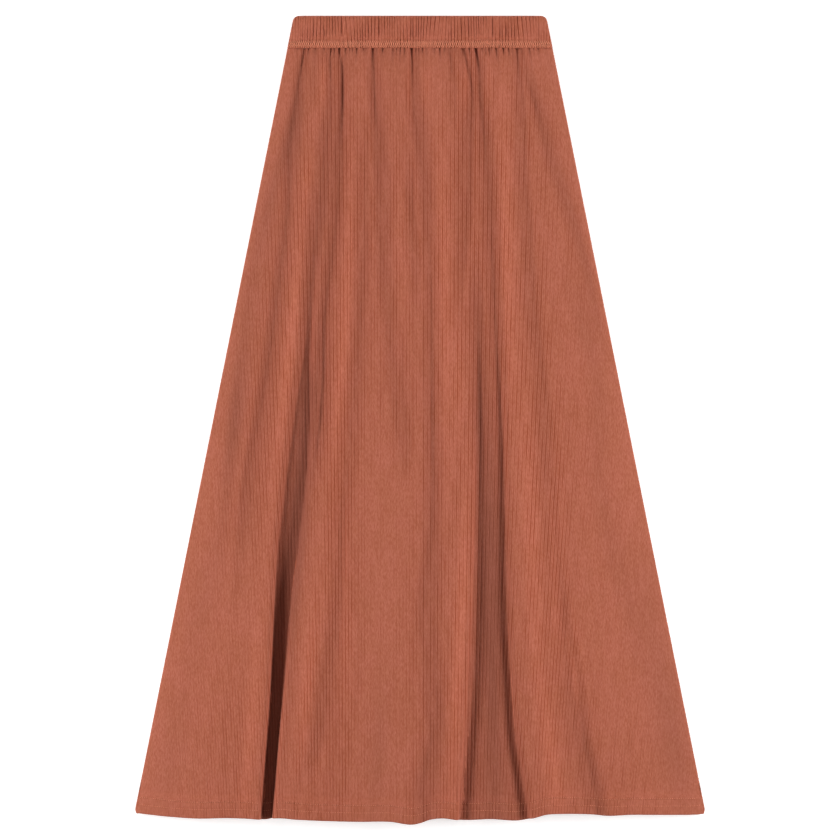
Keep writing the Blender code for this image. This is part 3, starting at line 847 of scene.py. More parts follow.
def zip_edges(first, first_place, second, second_place):
    """The triangles between two edges, whose points are given with their places along."""
    i = j = 0
    faces = []
    while i < len(first) - 1 or j < len(second) - 1:
        first_is_next = i < len(first) - 1 and (
            j == len(second) - 1 or first_place[i + 1] <= second_place[j + 1])
        if first_is_next:
            faces.append((first[i], first[i + 1], second[j]))
            i += 1
        else:
            faces.append((first[i], second[j + 1], second[j]))
            j += 1
    return faces


def fan_faces(upper, lower, upper_kept, lower_kept):
    """The faces between two rows of a cloth whose columns follow the ribs: upper and lower
    are the point numbers from seam to seam, and the kept lists say which columns they hold."""
    faces = []
    skipped = upper_kept[0] - lower_kept[0]
    faces.append((upper[0], lower[0], lower[1]))
    for k in range(skipped):
        faces.append((upper[0], lower[1 + k], lower[2 + k]))
    faces.append((upper[0], lower[1 + skipped], upper[1]))
    for k in range(len(upper_kept) - 1):
        a = lower[1 + skipped + k]
        faces.append((upper[1 + k], a, a + 1, upper[2 + k]))
    last = 1 + skipped + len(upper_kept) - 1
    faces.append((upper[-2], lower[last], upper[-1]))
    for k in range(last, len(lower) - 2):
        faces.append((upper[-1], lower[k], lower[k + 1]))
    faces.append((upper[-1], lower[-2], lower[-1]))
    return faces


def edge_drop(inside, radius):
    """How far a rounded edge has dropped at a distance inside it."""
    left = np.clip(radius - inside, 0, radius)
    return radius - np.sqrt(radius ** 2 - left ** 2)


def ribbed_shell(name, rows, face, inner, reach, material):
    """A closed shell of cloth from the casing to the hem. The face's mesh follows the ribs.
    face and inner give the points of the two surfaces from shares, downs and rib numbers,
    face with its values for the material, and reach gives the hem's edge."""
    fall = HEM_LEVEL - PANEL_TOP

    def stretched(share, down):
        return PANEL_TOP + (down - PANEL_TOP) * (reach(share) - PANEL_TOP) / fall

    found = rib_rows(rows)
    points, faces, numbers = [], [], []
    values = {"rib_turn": [], "rib_strength": [], "hollow": []}
    start = 0
    for (share, turn, _), down in zip(found, rows):
        places, extra = face(share, stretched(share, down), turn)
        points.append(places)
        values["rib_turn"].append(turn)
        for key, value in extra.items():
            values[key].append(value)
        numbers.append(np.arange(start, start + len(share)))
        start += len(share)
    for k in range(len(rows) - 1):
        faces += fan_faces(numbers[k], numbers[k + 1], found[k][2], found[k + 1][2])

    share = np.linspace(-1, 1, INNER_COLUMNS + 1)
    inner_downs = PANEL_TOP + fall * np.linspace(0, 1, INNER_ROWS + 1)
    under = start + np.arange((INNER_ROWS + 1) * (INNER_COLUMNS + 1))
    under = under.reshape(INNER_ROWS + 1, INNER_COLUMNS + 1)
    row_turns = np.array([np.interp(share, row[0], row[1]) for row in found])
    for down in inner_downs:
        nearest = int(np.argmin(np.abs(np.array(rows) - down)))
        points.append(inner(share, stretched(share, down)))
        values["rib_turn"].append(row_turns[nearest])
        values["rib_strength"].append(np.full_like(share, INNER_RIB))
        values["hollow"].append(np.zeros_like(share))
    faces += grid_faces(INNER_ROWS + 1, INNER_COLUMNS + 1, start)
    faces += zip_edges(numbers[0], found[0][0], under[0], share)
    faces += zip_edges(numbers[-1], found[-1][0], under[-1], share)
    for side in (0, -1):
        edge = [row[side] for row in numbers]
        faces += zip_edges(edge, rows, under[:, side], inner_downs)
    return add_mesh(name, np.concatenate(points), faces, material,
                    {key: np.concatenate(value) for key, value in values.items()})


def flat_backed(name, face, back, material, values):
    """A closed shell from the grid of its face and a coarse grid of its plain other side."""
    rows, columns = face.shape[:2]
    back_rows, back_columns = back.shape[:2]
    front_ids = np.arange(rows * columns).reshape(rows, columns)
    back_ids = rows * columns + np.arange(back_rows * back_columns)
    back_ids = back_ids.reshape(back_rows, back_columns)
    along, back_along = np.linspace(0, 1, columns), np.linspace(0, 1, back_columns)
    below, back_below = np.linspace(0, 1, rows), np.linspace(0, 1, back_rows)
    faces = grid_faces(rows, columns) + grid_faces(back_rows, back_columns, rows * columns)
    for edge in (0, -1):
        faces += zip_edges(front_ids[edge], along, back_ids[edge], back_along)
        faces += zip_edges(front_ids[:, edge], below, back_ids[:, edge], back_below)
    points = np.concatenate([face.reshape(-1, 3), back.reshape(-1, 3)])
    spare = np.zeros(back_rows * back_columns)
    filled = {key: np.concatenate([value.ravel(), spare]) for key, value in values.items()}
    return add_mesh(name, points, faces, material, filled)


def tubes(paths, radii, sides):
    """Points and faces of closed tubes, one along each path, that are thinner or thicker
    from point to point as radii says."""
    count, length = paths.shape[:2]
    ahead = np.gradient(paths, axis=1)
    ahead /= np.linalg.norm(ahead, axis=2, keepdims=True)
    aside = np.cross(ahead, (0.0, 0.0, 1.0))
    aside /= np.maximum(np.linalg.norm(aside, axis=2, keepdims=True), 1e-9)
    over = np.cross(aside, ahead)
    turn = np.linspace(0, 2 * np.pi, sides, endpoint=False)
    ring = (aside[:, :, None] * np.cos(turn)[:, None] + over[:, :, None] * np.sin(turn)[:, None])
    points = paths[:, :, None] + ring * np.asarray(radii)[None, :, None, None]
    faces = []
    for k in range(count):
        start = k * length * sides
        for row in range(length - 1):
            for side in range(sides):
                a = start + row * sides + side
                b = start + row * sides + (side + 1) % sides
                faces.append((a, b, b + sides, a + sides))
        faces.append(tuple(start + side for side in range(sides)))
        faces.append(tuple(start + (length - 1) * sides + side for side in range(sides)))
    return points.reshape(-1, 3), faces


def stitch_paths(count, offset, row, surface, outward):
    """A short path over the cloth for each of count stitches. row gives how far down the
    stitches are at a share, surface the height there, and outward is 1 up, -1 down."""
    start = (np.arange(count) + offset) / (count + 1)
    steps = np.linspace(0, STITCH_SHARE, len(STITCH_ARCH))
    places = start[:, None] + steps[None, :] / (count + 1)
    share = -SEWN_SHARE + 2 * SEWN_SHARE * places
    down = row(share)
    height = surface(share, down) + outward * np.array(STITCH_ARCH) * THREAD_LIFT
    return to_world(share * half_width(down), down, height)


def zigzag_path(upper, lower, count, first, surface, outward):
    """One looper thread that crosses from the upper needle row to the lower and back."""
    corner = np.linspace(-SEWN_SHARE, SEWN_SHARE, count)
    share = np.linspace(-SEWN_SHARE, SEWN_SHARE, (count - 1) * ZIGZAG_POINTS + 1)
    side = np.interp(share, corner, (np.arange(count) + first) % 2)
    down = upper(share) * (1 - side) + lower(share) * side
    height = surface(share, down) + outward * LOOPER_LIFT * THREAD_LIFT
    return to_world(share * half_width(down), down, height)[None]


def front_points(share, down, turn, rib_depth):
    """The points of the front's face and what its material reads there."""
    across = share * half_width(down)
    strength = np.clip(rib_strength(across, down) * uneven(turn, down), 0, 1) * calm_sides(share)
    height = front_face(across, down) - rib_depth * strength * groove(turn)
    height -= edge_drop(hem_down(share) - down, HEM_ROUND)
    height -= edge_drop((1 - np.abs(share)) * half_width(down), SIDE_ROUND)
    values = {"rib_strength": strength, "hollow": hollow(across, down)}
    return to_world(across + lip_overhang(across, down), down, height), values


def front_slopes(across, down):
    """How steeply the front rises going across and going down, but for the side seams."""
    slopes = []
    for aside, below in ((SLOPE_SAMPLE, 0), (0, SLOPE_SAMPLE)):
        ahead = front_height(across + aside, down + below)
        behind = front_height(across - aside, down - below)
        slopes.append((ahead - behind) / 2 / SLOPE_SAMPLE)
        slopes[-1][[0, -1]] = 0
    return slopes


def front_inner(share, down):
    """The points of the front's inner side, one or two layers of cloth below its face."""
    down = np.minimum(down, hem_down(share) - HEM_ROUND / 2)
    across = share * half_width(down)
    height = front_height(across, down)
    slope_across, slope_down = front_slopes(across, down)
    thick = CLOTH * (1 + turned_up(share, down)) + TUCK_ROOM * near_casing(down) * calm_sides(share)
    inward = thick / np.sqrt(slope_across ** 2 + slope_down ** 2 + 1)
    return to_world(across + inward * slope_across, down, height - inward)


def back_lift(share, down):
    """How far the back is lifted off the surface by its gathers and soft creases."""
    ripple = GATHER_SHARE_BELOW * (GATHER_RISE - gather(share)) * near_casing(down)
    return (ripple - creased(BACK_CREASES, share * half_width(down), down)) * calm_sides(share)


def back_points(share, down, turn, rib_depth):
    """The points of the back's face, which lies down, and what its material reads there."""
    lift = back_lift(share, down)
    strength = np.clip(PLAIN_RIB + lift / VALLEY_FULL_AT, 0, 1)
    height = lift + rib_depth * strength * groove(turn) * calm_sides(share)
    height += edge_drop(back_hem_down(share) - down, HEM_ROUND)
    height += edge_drop((1 - np.abs(share)) * half_width(down), SIDE_ROUND)
    across = share * (half_width(down) - SIDE_INSET)
    values = {"rib_strength": strength, "hollow": np.zeros_like(share)}
    return to_world(across, down, height), values


def back_inner(share, down):
    """The points of the back's inner side, which lies up."""
    across = share * (half_width(down) - SIDE_INSET)
    height = back_lift(share, down) + CLOTH * (1 + turned_up(share, down + HEM_INSET))
    return to_world(across, down, height)


def casing_down(share, level):
    """How far down a row of a casing is: its top edge is rounded off at the corners."""
    corner = np.clip(np.abs(share) * HALF_WAIST - HALF_WAIST + CASING_CORNER, 0, None)
    top = CASING_CORNER - np.sqrt(np.maximum(CASING_CORNER ** 2 - corner ** 2, 0))
    return level + top * (1 - level / CASING_HEIGHT)


def casing_turn(share, level):
    """The number of the rib at a point of a casing. The elastic sets the ribs aslant."""
    share = share * half_width(level) / HALF_WAIST
    aslant = waves(CASING_SLANT, share) * level / CASING_HEIGHT
    return RIBS_ON_CASING * share / 2 + waves(CASING_DRIFT, share) + aslant


def casing_tucked(share, level):
    """How deep the tucks in the casing are at a point."""
    return tuck_depth(CASING_TUCKS, share * half_width(level), level, 0)


def casing_relief(share, level, rib_depth):
    """How far the face of a casing stands up: its round top, gathers, tucks and ribs."""
    ripple = smooth(CASING_ROWS, "ripple", level)
    turn = casing_turn(share, level)
    change = np.sin(CASING_RIB_RATE * share + level / CASING_RIB_SPELL)
    strength = CASING_RIB_MEAN + CASING_RIB_CHANGE * change
    calm = calm_sides(share, CASING_CALM)
    thickness = CASING_THICKNESS * (1 - CASING_SIDE_THINNING * share ** CASING_SIDE_POWER)
    ribs = rib_depth * CASING_RIB_GAIN * strength * groove(turn)
    low = thickness * (1 - smooth(CASING_ROWS, "rise", level))
    low = low + ripple * (GATHER_RISE - gather(share)) * CASING_GATHER_SHARE
    low = low + CASING_TUCK_GAIN * ripple * calm * casing_tucked(share, level)
    low = low + ribs * calm * np.minimum(ripple / CASING_RIBS_FULL_AT, 1)
    return thickness + GATHER_RISE / 2 - low, strength, turn


def casing_painted_shade(share, level):
    """How much painted shade a casing's cloth gets in its tucks and between its gathers, from 0 to
    1.
    """
    dips = 1 - gather(share) / GATHER_RISE
    painted_dark = TUCK_PAINTED_SHADE * CASING_TUCK_GAIN * casing_tucked(share, level) + CASING_DIP_PAINTED_SHADE * dips
    painted_dark = np.clip(painted_dark * smooth(CASING_ROWS, "ripple", level), 0, 1)
    return painted_dark * calm_sides(share, CASING_CALM)


def front_casing_height(share, down):
    """Height of the front casing's face, for the thread that lies on it."""
    return FRONT_CASING_BASE + casing_relief(share, down, 0.0)[0]


def back_casing_height(share, down):
    """Height of the back casing's face, which lies down, for the thread on it."""
    return np.maximum(CASING_FACE - casing_relief(share, down, 0.0)[0], BACK_THREAD)


def front_panel_height(share, down):
    """Height of the front panel's face, for the thread that lies on it."""
    return front_face(share * half_width(down), down)


def back_panel_height(share, down):
    """Height of the back panel's face, which lies down, for the thread on it."""
    return back_lift(share, down) + BACK_THREAD


def fill(tree, made, inputs):
    """The node, with its inputs linked or set by place or by name."""
    for place, value in inputs.items():
        if isinstance(value, bpy.types.NodeSocket):
            tree.links.new(value, made.inputs[place])
        else:
            made.inputs[place].default_value = value
    return made


def node(tree, kind, inputs=(), **settings):
    """A shader node with its settings, and its inputs linked or set in order."""
    made = tree.nodes.new(kind)
    for key, value in settings.items():
        setattr(made, key, value)
    return fill(tree, made, dict(enumerate(inputs)))


def calc(tree, operation, *inputs):
    """The result of a Math node."""
    return node(tree, "ShaderNodeMath", inputs, operation=operation).outputs[0]


def remap(tree, value, span, to_low=0.0, to_high=1.0, kind="SMOOTHSTEP"):
    """The result of a Map Range node, from a span of values to another."""
    made = node(tree, "ShaderNodeMapRange", (value, *span, to_low, to_high),
                interpolation_type=kind)
    return made.outputs[0]


def mix_colour(tree, factor, first, second, blend="MIX"):
    """The result of a Mix node on two colours."""
    made = node(tree, "ShaderNodeMix", data_type="RGBA", blend_type=blend)
    return fill(tree, made, {0: factor, 6: first, 7: second}).outputs[2]


def toned(colour, gain=1.0):
    """A colour, made lighter or darker, for a socket."""
    return (*[min(part * gain, 1) for part in colour], 1)


def noise(tree, place, grain):
    """The value of a Noise node."""
    if grain.stretch != 1:
        place = node(tree, "ShaderNodeVectorMath", (place, (1.0, grain.stretch, 1.0)),
                     operation="MULTIPLY").outputs[0]
    made = node(tree, "ShaderNodeTexNoise", (place,))
    fill(tree, made, {"Scale": grain.scale, "Detail": grain.detail, "Roughness": grain.roughness})
    return made.outputs[0]


def attribute(tree, name):
    """The value that the mesh has for each point under a name."""
    return node(tree, "ShaderNodeAttribute", attribute_name=name).outputs["Fac"]


def bump(tree, height, distance):
    """The normal of a relief, whose height is in units of the distance."""
    made = node(tree, "ShaderNodeBump")
    fill(tree, made, {"Height": height, "Distance": distance, "Strength": 1.0})
    return made.outputs[0]


def new_material(name):
    """A material with its node tree, shader and the object's own coordinates."""
    material = bpy.data.materials.new(name)
    material.use_nodes = True
    tree = material.node_tree
    place = node(tree, "ShaderNodeTexCoord").outputs["Object"]
    return material, tree, tree.nodes["Principled BSDF"], place


def knit_material(name, knit, tone):
    """Cotton rib knit: broad ribs of fine stitches with narrow grooves between them, darkened
    with painted shade, a little uneven in its dye, with a soft nap. Folds get painted shade
    and the tops of rolls painted highlight. tone lightens or darkens the whole."""
    material, tree, shader, place = new_material(name)
    turn = attribute(tree, "rib_turn")
    # The mesh's painted shading: above 0 painted shade in folds, below 0 painted highlight on rolls
    inside = attribute(tree, "hollow")
    axes = node(tree, "ShaderNodeSeparateXYZ", (place,))

    from_ridge = calc(tree, "PINGPONG", calc(tree, "ADD", turn, 0.5), 0.5)
    in_groove = remap(tree, from_ridge, (GROOVE_EDGE, 0.5))
    in_fine = remap(tree, from_ridge, (0.0, FINE_GROOVE_EDGE), FINE_GROOVE, 0.0)
    in_groove = calc(tree, "MULTIPLY", calc(tree, "ADD", in_groove, in_fine),
                     attribute(tree, "rib_strength"))

    wale = calc(tree, "PINGPONG", calc(tree, "MULTIPLY", turn, WALES_PER_RIB), 0.5)
    course = calc(tree, "MULTIPLY", axes.outputs[1], 1 / (COURSE * MM))
    stitch = calc(tree, "SINE", calc(tree, "MULTIPLY", calc(tree, "ADD", course, wale), 2 * np.pi))

    fuzz = noise(tree, place, FUZZ)
    dyed = mix_colour(tree, remap(tree, noise(tree, place, MOTTLE), NOISE_RANGE),
                      toned(knit.orange_dye, tone), toned(knit.pink_dye, tone))
    flecks = calc(tree, "MULTIPLY", noise(tree, place, FLECKS), 1 - STREAK_SHARE)
    worn = calc(tree, "MULTIPLY_ADD", noise(tree, place, STREAKS), STREAK_SHARE, flecks)
    paler = mix_colour(tree, remap(tree, worn, WORN_RANGE, kind="LINEAR"),
                       (*[1 - share * knit.unevenness for share in UNEVEN_SHARES], 1),
                       (*[1 + share * knit.unevenness for share in UNEVEN_SHARES], 1))
    dyed = mix_colour(tree, 1.0, dyed, paler, "MULTIPLY")
    # Painted shade in the grooves between ribs: the colour is darkened toward the groove colour
    groove_shade_painted = mix_colour(tree, calc(tree, "MULTIPLY", in_groove, knit.painted_groove_shade), dyed,
                         toned(knit.painted_groove_shade_colour))
    # Painted shade in folds, tucks and gathers: the colour is darkened toward the painted shade
    # colour
    shade_painted = mix_colour(tree, calc(tree, "MULTIPLY", inside, knit.painted_shade_strength), groove_shade_painted,
                        toned(knit.painted_shade_colour))
    # Painted highlight: where the painted shading value is below 0, along the tops of rolls, the
    # colour is lightened
    highlight_painted = mix_colour(tree, calc(tree, "MULTIPLY", inside, -PAINTED_HIGHLIGHT), shade_painted,
                         (*[PAINTED_HIGHLIGHT_GAIN] * 3, 1), "MULTIPLY")

    height = calc(tree, "MULTIPLY", in_groove, -BUMP_GROOVE)
    height = calc(tree, "MULTIPLY_ADD", stitch, BUMP_STITCH, height)
    height = calc(tree, "MULTIPLY_ADD", fuzz, BUMP_FUZZ, height)
    fill(tree, shader, {
        "Base Color": highlight_painted,
        "Normal": bump(tree, height, MM),
        "Roughness": remap(tree, fuzz, NOISE_RANGE, knit.roughness - ROUGHNESS_CHANGE,
                           knit.roughness + ROUGHNESS_CHANGE),
        "Sheen Weight": knit.nap,
        "Sheen Roughness": 0.45,
        "Sheen Tint": (1.0, 0.72, 0.6, 1),
        "Specular IOR Level": 0.15,
    })
    return material


def thread_material(name, colour):
    """Sewing thread of two plies, which shows as fine slanted bands along it."""
    material, tree, shader, place = new_material(name)
    plies = node(tree, "ShaderNodeTexWave", (place,), bands_direction="DIAGONAL")
    fill(tree, plies, {"Scale": PLY_SCALE, "Distortion": PLY_DISTORTION})
    dyed = remap(tree, noise(tree, place, THREAD_GRAIN), NOISE_RANGE)
    fill(tree, shader, {
        "Base Color": mix_colour(tree, dyed, *(toned(colour, tone) for tone in THREAD_TONES)),
        "Normal": bump(tree, plies.outputs["Fac"], BUMP_PLY * MM),
        "Roughness": THREAD_ROUGHNESS,
        "Specular IOR Level": 0.2,
    })
    return material


def floor_material(name, colour):
    """A pale, even surface with a very faint grain."""
    material, tree, shader, place = new_material(name)
    grain = remap(tree, noise(tree, place, FLOOR_GRAIN), NOISE_RANGE)
    fill(tree, shader, {
        "Base Color": mix_colour(tree, grain, toned(colour, FLOOR_GRAIN_TONE), toned(colour)),
        "Roughness": 0.9,
        "Specular IOR Level": 0.1,
        "Emission Color": (1, 1, 1, 1),
        "Emission Strength": FLOOR_GLOW,
    })
    return material


def colour_setting(**settings):
    """A colour that can be set in the panel."""
    return FloatVectorProperty(subtype="COLOR", min=0, max=1, **settings)


def factor_setting(least=0, most=1, **settings):
    """A factor that can be set in the panel."""
    return FloatProperty(subtype="FACTOR", min=least, max=most, **settings)


class SkirtKnit(PropertyGroup):
    """The rib knit that all four pieces are cut from."""
    orange_dye: colour_setting(
        name="Orange Dye", description="The cloth's colour where its dye is most orange",
        default=(0.377, 0.109, 0.061))
    pink_dye: colour_setting(
        name="Pink Dye", description="The cloth's colour where its dye is most pink",
        default=(0.397, 0.115, 0.069))
    # Painted shade: the colour that the grooves between ribs are darkened to
    painted_groove_shade_colour: colour_setting(
        name="Groove Colour", description="The cloth's colour deep between two ribs",
        default=(0.22, 0.038, 0.012))
    # Painted shade: the colour that cloth in a fold is darkened to
    painted_shade_colour: colour_setting(
        name="Hollow Colour", description="The colour that sheltered cloth gets duller to",
        default=(0.12, 0.038, 0.026))
    # How much painted shade the grooves between ribs take
    painted_groove_shade: factor_setting(
        name="Groove Shade", description="How much of the groove colour the grooves take",
        default=0.9)
    # How much of the painted shade colour the most shaded cloth takes
    painted_shade_strength: factor_setting(
        name="Hollow Shade", description="How much of the hollow colour sheltered cloth takes",
        default=0.48)
    unevenness: factor_setting(
        name="Unevenness", description="How much the yarn's tone varies along the ribs",
        default=0.155, least=0, most=0.5)
    roughness: factor_setting(
        name="Roughness", description="Roughness of the cotton",
        default=0.86, least=0.1, most=0.94)
    nap: factor_setting(
        name="Nap", description="How much the cloth's soft nap catches the light",
        default=0.08)
    rib_depth: FloatProperty(
        name="Rib Depth", description="How deep the strongest grooves between ribs are",
        unit="LENGTH", default=0.00042, min=0, max=0.001, precision=5)


class SkirtSewing(PropertyGroup):
    """The cover stitches at the casing and the hem."""
    waist_thread: colour_setting(
        name="Waist Thread", description="Colour of the thread below the elastic",
        default=(0.7, 0.256, 0.148))
    hem_thread: colour_setting(
        name="Hem Thread", description="Colour of the thread on the hem",
        default=(0.6, 0.205, 0.115))
    thickness: FloatProperty(
        name="Thread Thickness", description="Diameter of the needle thread",
        unit="LENGTH", default=0.0007, min=0.0001, max=0.002, precision=5)
    stitch_length: FloatProperty(
        name="Stitch Length", description="From one needle stitch to the next",
        unit="LENGTH", default=0.0027, min=0.001, max=0.01, precision=4)


class SkirtStudio(PropertyGroup):
    """The pale floor, the soft lights and the camera straight above."""
    floor_colour: colour_setting(
        name="Floor Colour", description="Colour of the floor",
        default=(0.9, 0.9, 0.9))
    side_power: FloatProperty(
        name="Side Lights", description="Power of each of the two long lights at the sides",
        unit="POWER", default=54.0, min=0)
    top_power: FloatProperty(
        name="Top Light", description="Power of the broad light overhead",
        unit="POWER", default=3.0, min=0)
    room_light: FloatProperty(
        name="Room Light", description="Strength of the even light from all around",
        default=0.205, min=0)
    lens: FloatProperty(
        name="Lens", description="Focal length of the camera",
        unit="CAMERA", default=200.0, min=20)


def groove_depth(knit):
    """The depth of the strongest grooves in millimetres."""
    return knit.rib_depth / MM


def declare(piece, slot, *nodes):
    """Ties a finished piece to the body and hides the solids it stands for; slot is not used."""
    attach(piece, BODY)
    if nodes:
        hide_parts(*nodes)


def panel_rows():
    """The levels of the rows of a panel's mesh."""
    rounding = HEM_LEVEL - HEM_ROUND * np.array(HEM_ROUND_STEPS)
    return np.concatenate([np.arange(*band) for band in ROW_BANDS] + [rounding]).tolist()


class SKIRT_OT_front_panel(Operator):
    """Make the front panel, in soft rolls and pleats"""
    bl_idname = "skirt.front_panel"
    bl_label = "Front Panel"

    def execute(self, context):
        knit = context.scene.skirt_knit
        piece = ribbed_shell("front_cloth", panel_rows(),
                             partial(front_points, rib_depth=groove_depth(knit)),
                             front_inner, hem_down,
                             knit_material("front_rib_knit", knit, FRONT_TONE))
        declare(piece, "front_rib", "front_panel")
        return {"FINISHED"}


class SKIRT_OT_back_panel(Operator):
    """Make the back panel, flat on the floor but for a few soft creases"""
    bl_idname = "skirt.back_panel"
    bl_label = "Back Panel"

    def execute(self, context):
        knit = context.scene.skirt_knit
        piece = ribbed_shell("back_cloth", panel_rows()[::2] + [HEM_LEVEL],
                             partial(back_points, rib_depth=groove_depth(knit)),
                             back_inner, back_hem_down,
                             knit_material("back_rib_knit", knit, BACK_TONE))
        declare(piece, "back_rib", "back_panel")
        return {"FINISHED"}


def make_casing(name, knit, tone, half_of, place):
    """A casing's cloth. half_of gives half its width at a level, and place the heights of
    its face and of its other side from the face's relief."""
    share = np.linspace(-1, 1, CASING_COLUMNS + 1)
    face = []
    values = {"rib_turn": [], "rib_strength": [], "hollow": []}
    for level in CASING_LEVELS:
        down = casing_down(share, level)
        relief, strength, turn = casing_relief(share, level, groove_depth(knit))
        relief = relief - edge_drop(CASING_HEIGHT - level, CASING_END_ROUND)
        face.append(to_world(share * half_of(down), down, place(relief)))
        values["rib_strength"].append(np.clip(strength, 0, 1))
        values["rib_turn"].append(turn)
        values["hollow"].append(casing_painted_shade(share, level))
    plain = np.linspace(-1, 1, CASING_BACK_COLUMNS + 1)
    back = []
    for level in (0.0, CASING_HEIGHT / 2, CASING_HEIGHT):
        down = casing_down(plain, level)
        back.append(to_world(plain * half_of(down), down, place(np.zeros_like(plain))))
    values = {key: np.array(value) for key, value in values.items()}
    return flat_backed(name, np.array(face), np.array(back),
                       knit_material(name + "_knit", knit, tone), values)


class SKIRT_OT_casings(Operator):
    """Make the front and back casings, gathered on their elastic"""
    bl_idname = "skirt.casings"
    bl_label = "Casings"

    def execute(self, context):
        knit = context.scene.skirt_knit
        front = make_casing("front_casing_cloth", knit, FRONT_CASING_TONE, half_width,
                            lambda relief: FRONT_CASING_BASE + relief)
        declare(front, "front_casing_rib", "waistband_front")
        back = make_casing("back_casing_cloth", knit, BACK_CASING_TONE,
                           lambda down: half_width(down) - SIDE_INSET,
                           lambda relief: np.clip(CASING_FACE - relief, 0, CASING_THICKNESS))
        declare(back, "back_casing_rib", "waistband_back")
        return {"FINISHED"}


def sew(name, colour, slot, sewing, rows, surface, outward, loops=0):
    """One cover stitch: rows of needle stitches, and two looper threads with a number of
    corners that cross between them."""
    radius = sewing.thickness / 2
    made = []
    for number, row in enumerate(rows):
        width = 2 * SEWN_SHARE * float(half_width(np.max(row(np.zeros(1)))))
        count = round(width * MM / sewing.stitch_length)
        paths = stitch_paths(count, ROW_OFFSET * number, row, surface, outward)
        made.append(tubes(paths, radius * np.array(STITCH_TAPER), THREAD_SIDES))
    for first in (0, 1) if loops else ():
        path = zigzag_path(*rows, loops, first, surface, outward)
        made.append(tubes(path, np.full(path.shape[1], radius * LOOPER_THICKNESS),
                          THREAD_SIDES - 1))
    faces, start = [], 0
    for points, sides in made:
        faces += [tuple(i + start for i in side) for side in sides]
        start += len(points)
    points = np.concatenate([points for points, _ in made])
    piece = add_mesh(name, points, faces, thread_material(name + "_thread", colour))
    declare(piece, slot)


def level_row(down):
    """A needle row at one distance down."""
    return lambda share: np.full_like(share, down)


def hem_row(above):
    """A needle row at one distance above the hem's edge."""
    return lambda share: hem_down(share) - above


class SKIRT_OT_waist_stitching(Operator):
    """Sew the cover stitch below the elastic"""
    bl_idname = "skirt.waist_stitching"
    bl_label = "Waist Stitching"

    def execute(self, context):
        sewing = context.scene.skirt_sewing
        rows = [level_row(down) for down in WAIST_NEEDLE_ROWS]
        sew("front_waist_stitches", sewing.waist_thread, "front_casing_rib", sewing, rows,
            front_casing_height, 1, WAIST_LOOPS)
        sew("back_waist_stitches", sewing.waist_thread, "back_casing_rib", sewing, rows,
            back_casing_height, -1, WAIST_LOOPS)
        return {"FINISHED"}


class SKIRT_OT_hem_stitching(Operator):
    """Sew the cover stitch along the hem"""
    bl_idname = "skirt.hem_stitching"
    bl_label = "Hem Stitching"

    def execute(self, context):
        sewing = context.scene.skirt_sewing
        rows = [hem_row(above) for above in HEM_NEEDLE_ROWS]
        sew("front_hem_stitches", sewing.hem_thread, "front_rib", sewing, rows,
            front_panel_height, 1)
        sew("back_hem_stitches", sewing.hem_thread, "back_rib", sewing, rows,
            back_panel_height, -1)
        return {"FINISHED"}


def area_light(name, place, turned, size, power):
    """A rectangular light that the camera doesn't see."""
    light = bpy.data.lights.new(name, "AREA")
    light.shape = "RECTANGLE"
    light.size, light.size_y = size
    light.energy = power
    lamp = bpy.data.objects.new(name, light)
    lamp.location = place
    lamp.rotation_euler = turned
    lamp.visible_camera = False
    bpy.context.scene.collection.objects.link(lamp)


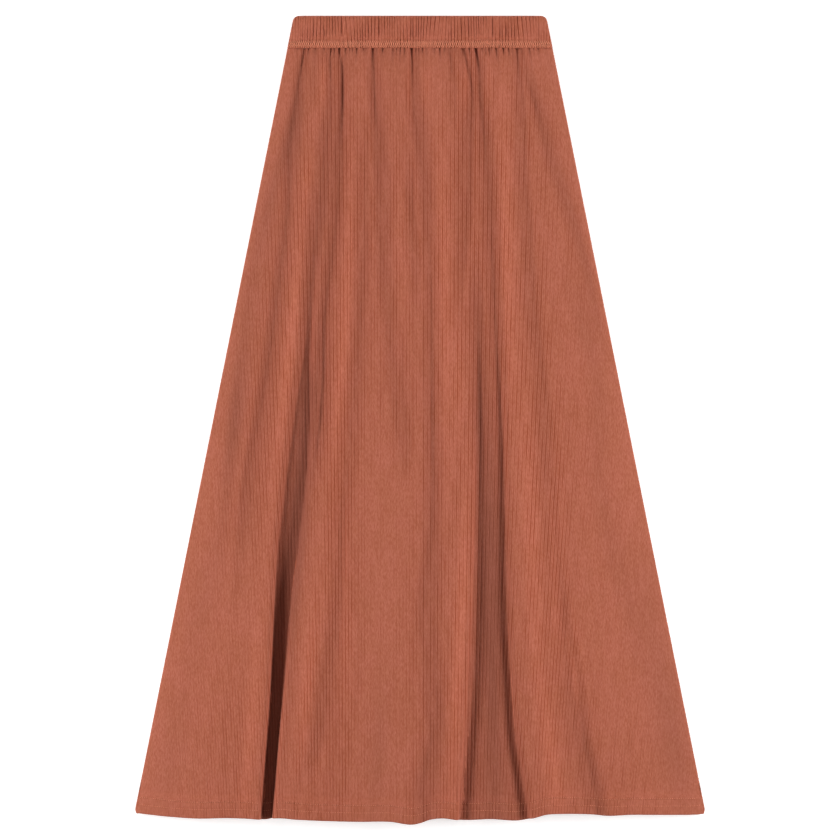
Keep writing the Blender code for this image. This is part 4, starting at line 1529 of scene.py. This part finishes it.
class SKIRT_OT_studio(Operator):
    """Make the floor, the lights and the camera"""
    bl_idname = "skirt.studio"
    bl_label = "Studio"

    def execute(self, context):
        studio = context.scene.skirt_studio
        half = FLOOR_SIZE / 2
        corners = [(x * half, y * half, -FLOOR_DROP)
                   for x, y in ((-1, -1), (1, -1), (1, 1), (-1, 1))]
        floor = add_mesh("floor", corners, [(0, 1, 2, 3)],
                         floor_material("pale_floor", studio.floor_colour))
        lean = np.arctan2(SIDE_LIGHT_REACH, SIDE_LIGHT_HEIGHT)
        for name, side in (("left_light", -1), ("right_light", 1)):
            area_light(name, (side * SIDE_LIGHT_REACH, SIDE_LIGHT_UP, SIDE_LIGHT_HEIGHT),
                       (0, side * lean, 0), SIDE_LIGHT_SIZE[::-1], studio.side_power)
        area_light("top_light", (0, 0, TOP_LIGHT_HEIGHT), (0, 0, 0),
                   (TOP_LIGHT_SIZE, TOP_LIGHT_SIZE), studio.top_power)
        world = bpy.data.worlds.new("studio_room")
        world.use_nodes = True
        room = world.node_tree.nodes["Background"]
        room.inputs["Color"].default_value = (1, 1, 1, 1)
        room.inputs["Strength"].default_value = studio.room_light
        context.scene.world = world

        camera = bpy.data.objects.new("camera", bpy.data.cameras.new("camera"))
        camera.data.sensor_width = SENSOR
        camera.data.lens = studio.lens
        distance = FRAME_WIDTH * studio.lens / SENSOR
        camera.location = (0, FRAME_MIDDLE_Y, OUTLINE_HEIGHT + distance)
        camera.data.clip_start = distance / CLIP_SPAN
        camera.data.clip_end = distance * CLIP_SPAN
        context.scene.collection.objects.link(camera)
        context.scene.camera = camera
        context.scene.view_settings.view_transform = "Standard"
        return {"FINISHED"}


class SKIRT_PT_panel(Panel):
    """The skirt's pieces and settings"""
    bl_idname = "SKIRT_PT_panel"
    bl_label = "A-line Skirt"
    bl_space_type = "VIEW_3D"
    bl_region_type = "UI"
    bl_category = "Skirt"

    def draw(self, context):
        layout = self.layout
        for group, operators in PANEL_PARTS:
            box = layout.box()
            settings = getattr(context.scene, group)
            for name in settings.__annotations__:
                box.prop(settings, name)
            for operator in operators:
                box.operator(operator.bl_idname)


PANEL_PARTS = (
    ("skirt_knit", (SKIRT_OT_front_panel, SKIRT_OT_back_panel, SKIRT_OT_casings)),
    ("skirt_sewing", (SKIRT_OT_waist_stitching, SKIRT_OT_hem_stitching)),
    ("skirt_studio", (SKIRT_OT_studio,)),
)
GROUPS = {"skirt_knit": SkirtKnit, "skirt_sewing": SkirtSewing, "skirt_studio": SkirtStudio}
OPERATORS = [operator for _, operators in PANEL_PARTS for operator in operators]
CLASSES = (*GROUPS.values(), *OPERATORS, SKIRT_PT_panel)


def register():
    """Register the settings, the operators and the panel."""
    for kind in CLASSES:
        bpy.utils.register_class(kind)
    for name, group in GROUPS.items():
        setattr(bpy.types.Scene, name, PointerProperty(type=group))


def unregister():
    """Take the settings, the operators and the panel away again."""
    for name in GROUPS:
        delattr(bpy.types.Scene, name)
    for kind in reversed(CLASSES):
        bpy.utils.unregister_class(kind)


def main():
    """Make every piece and the stage."""
    register()
    bpy.ops.skirt.front_panel()
    bpy.ops.skirt.back_panel()
    bpy.ops.skirt.casings()
    bpy.ops.skirt.waist_stitching()
    bpy.ops.skirt.hem_stitching()
    bpy.ops.skirt.studio()


if __name__ == "__main__":
    main()
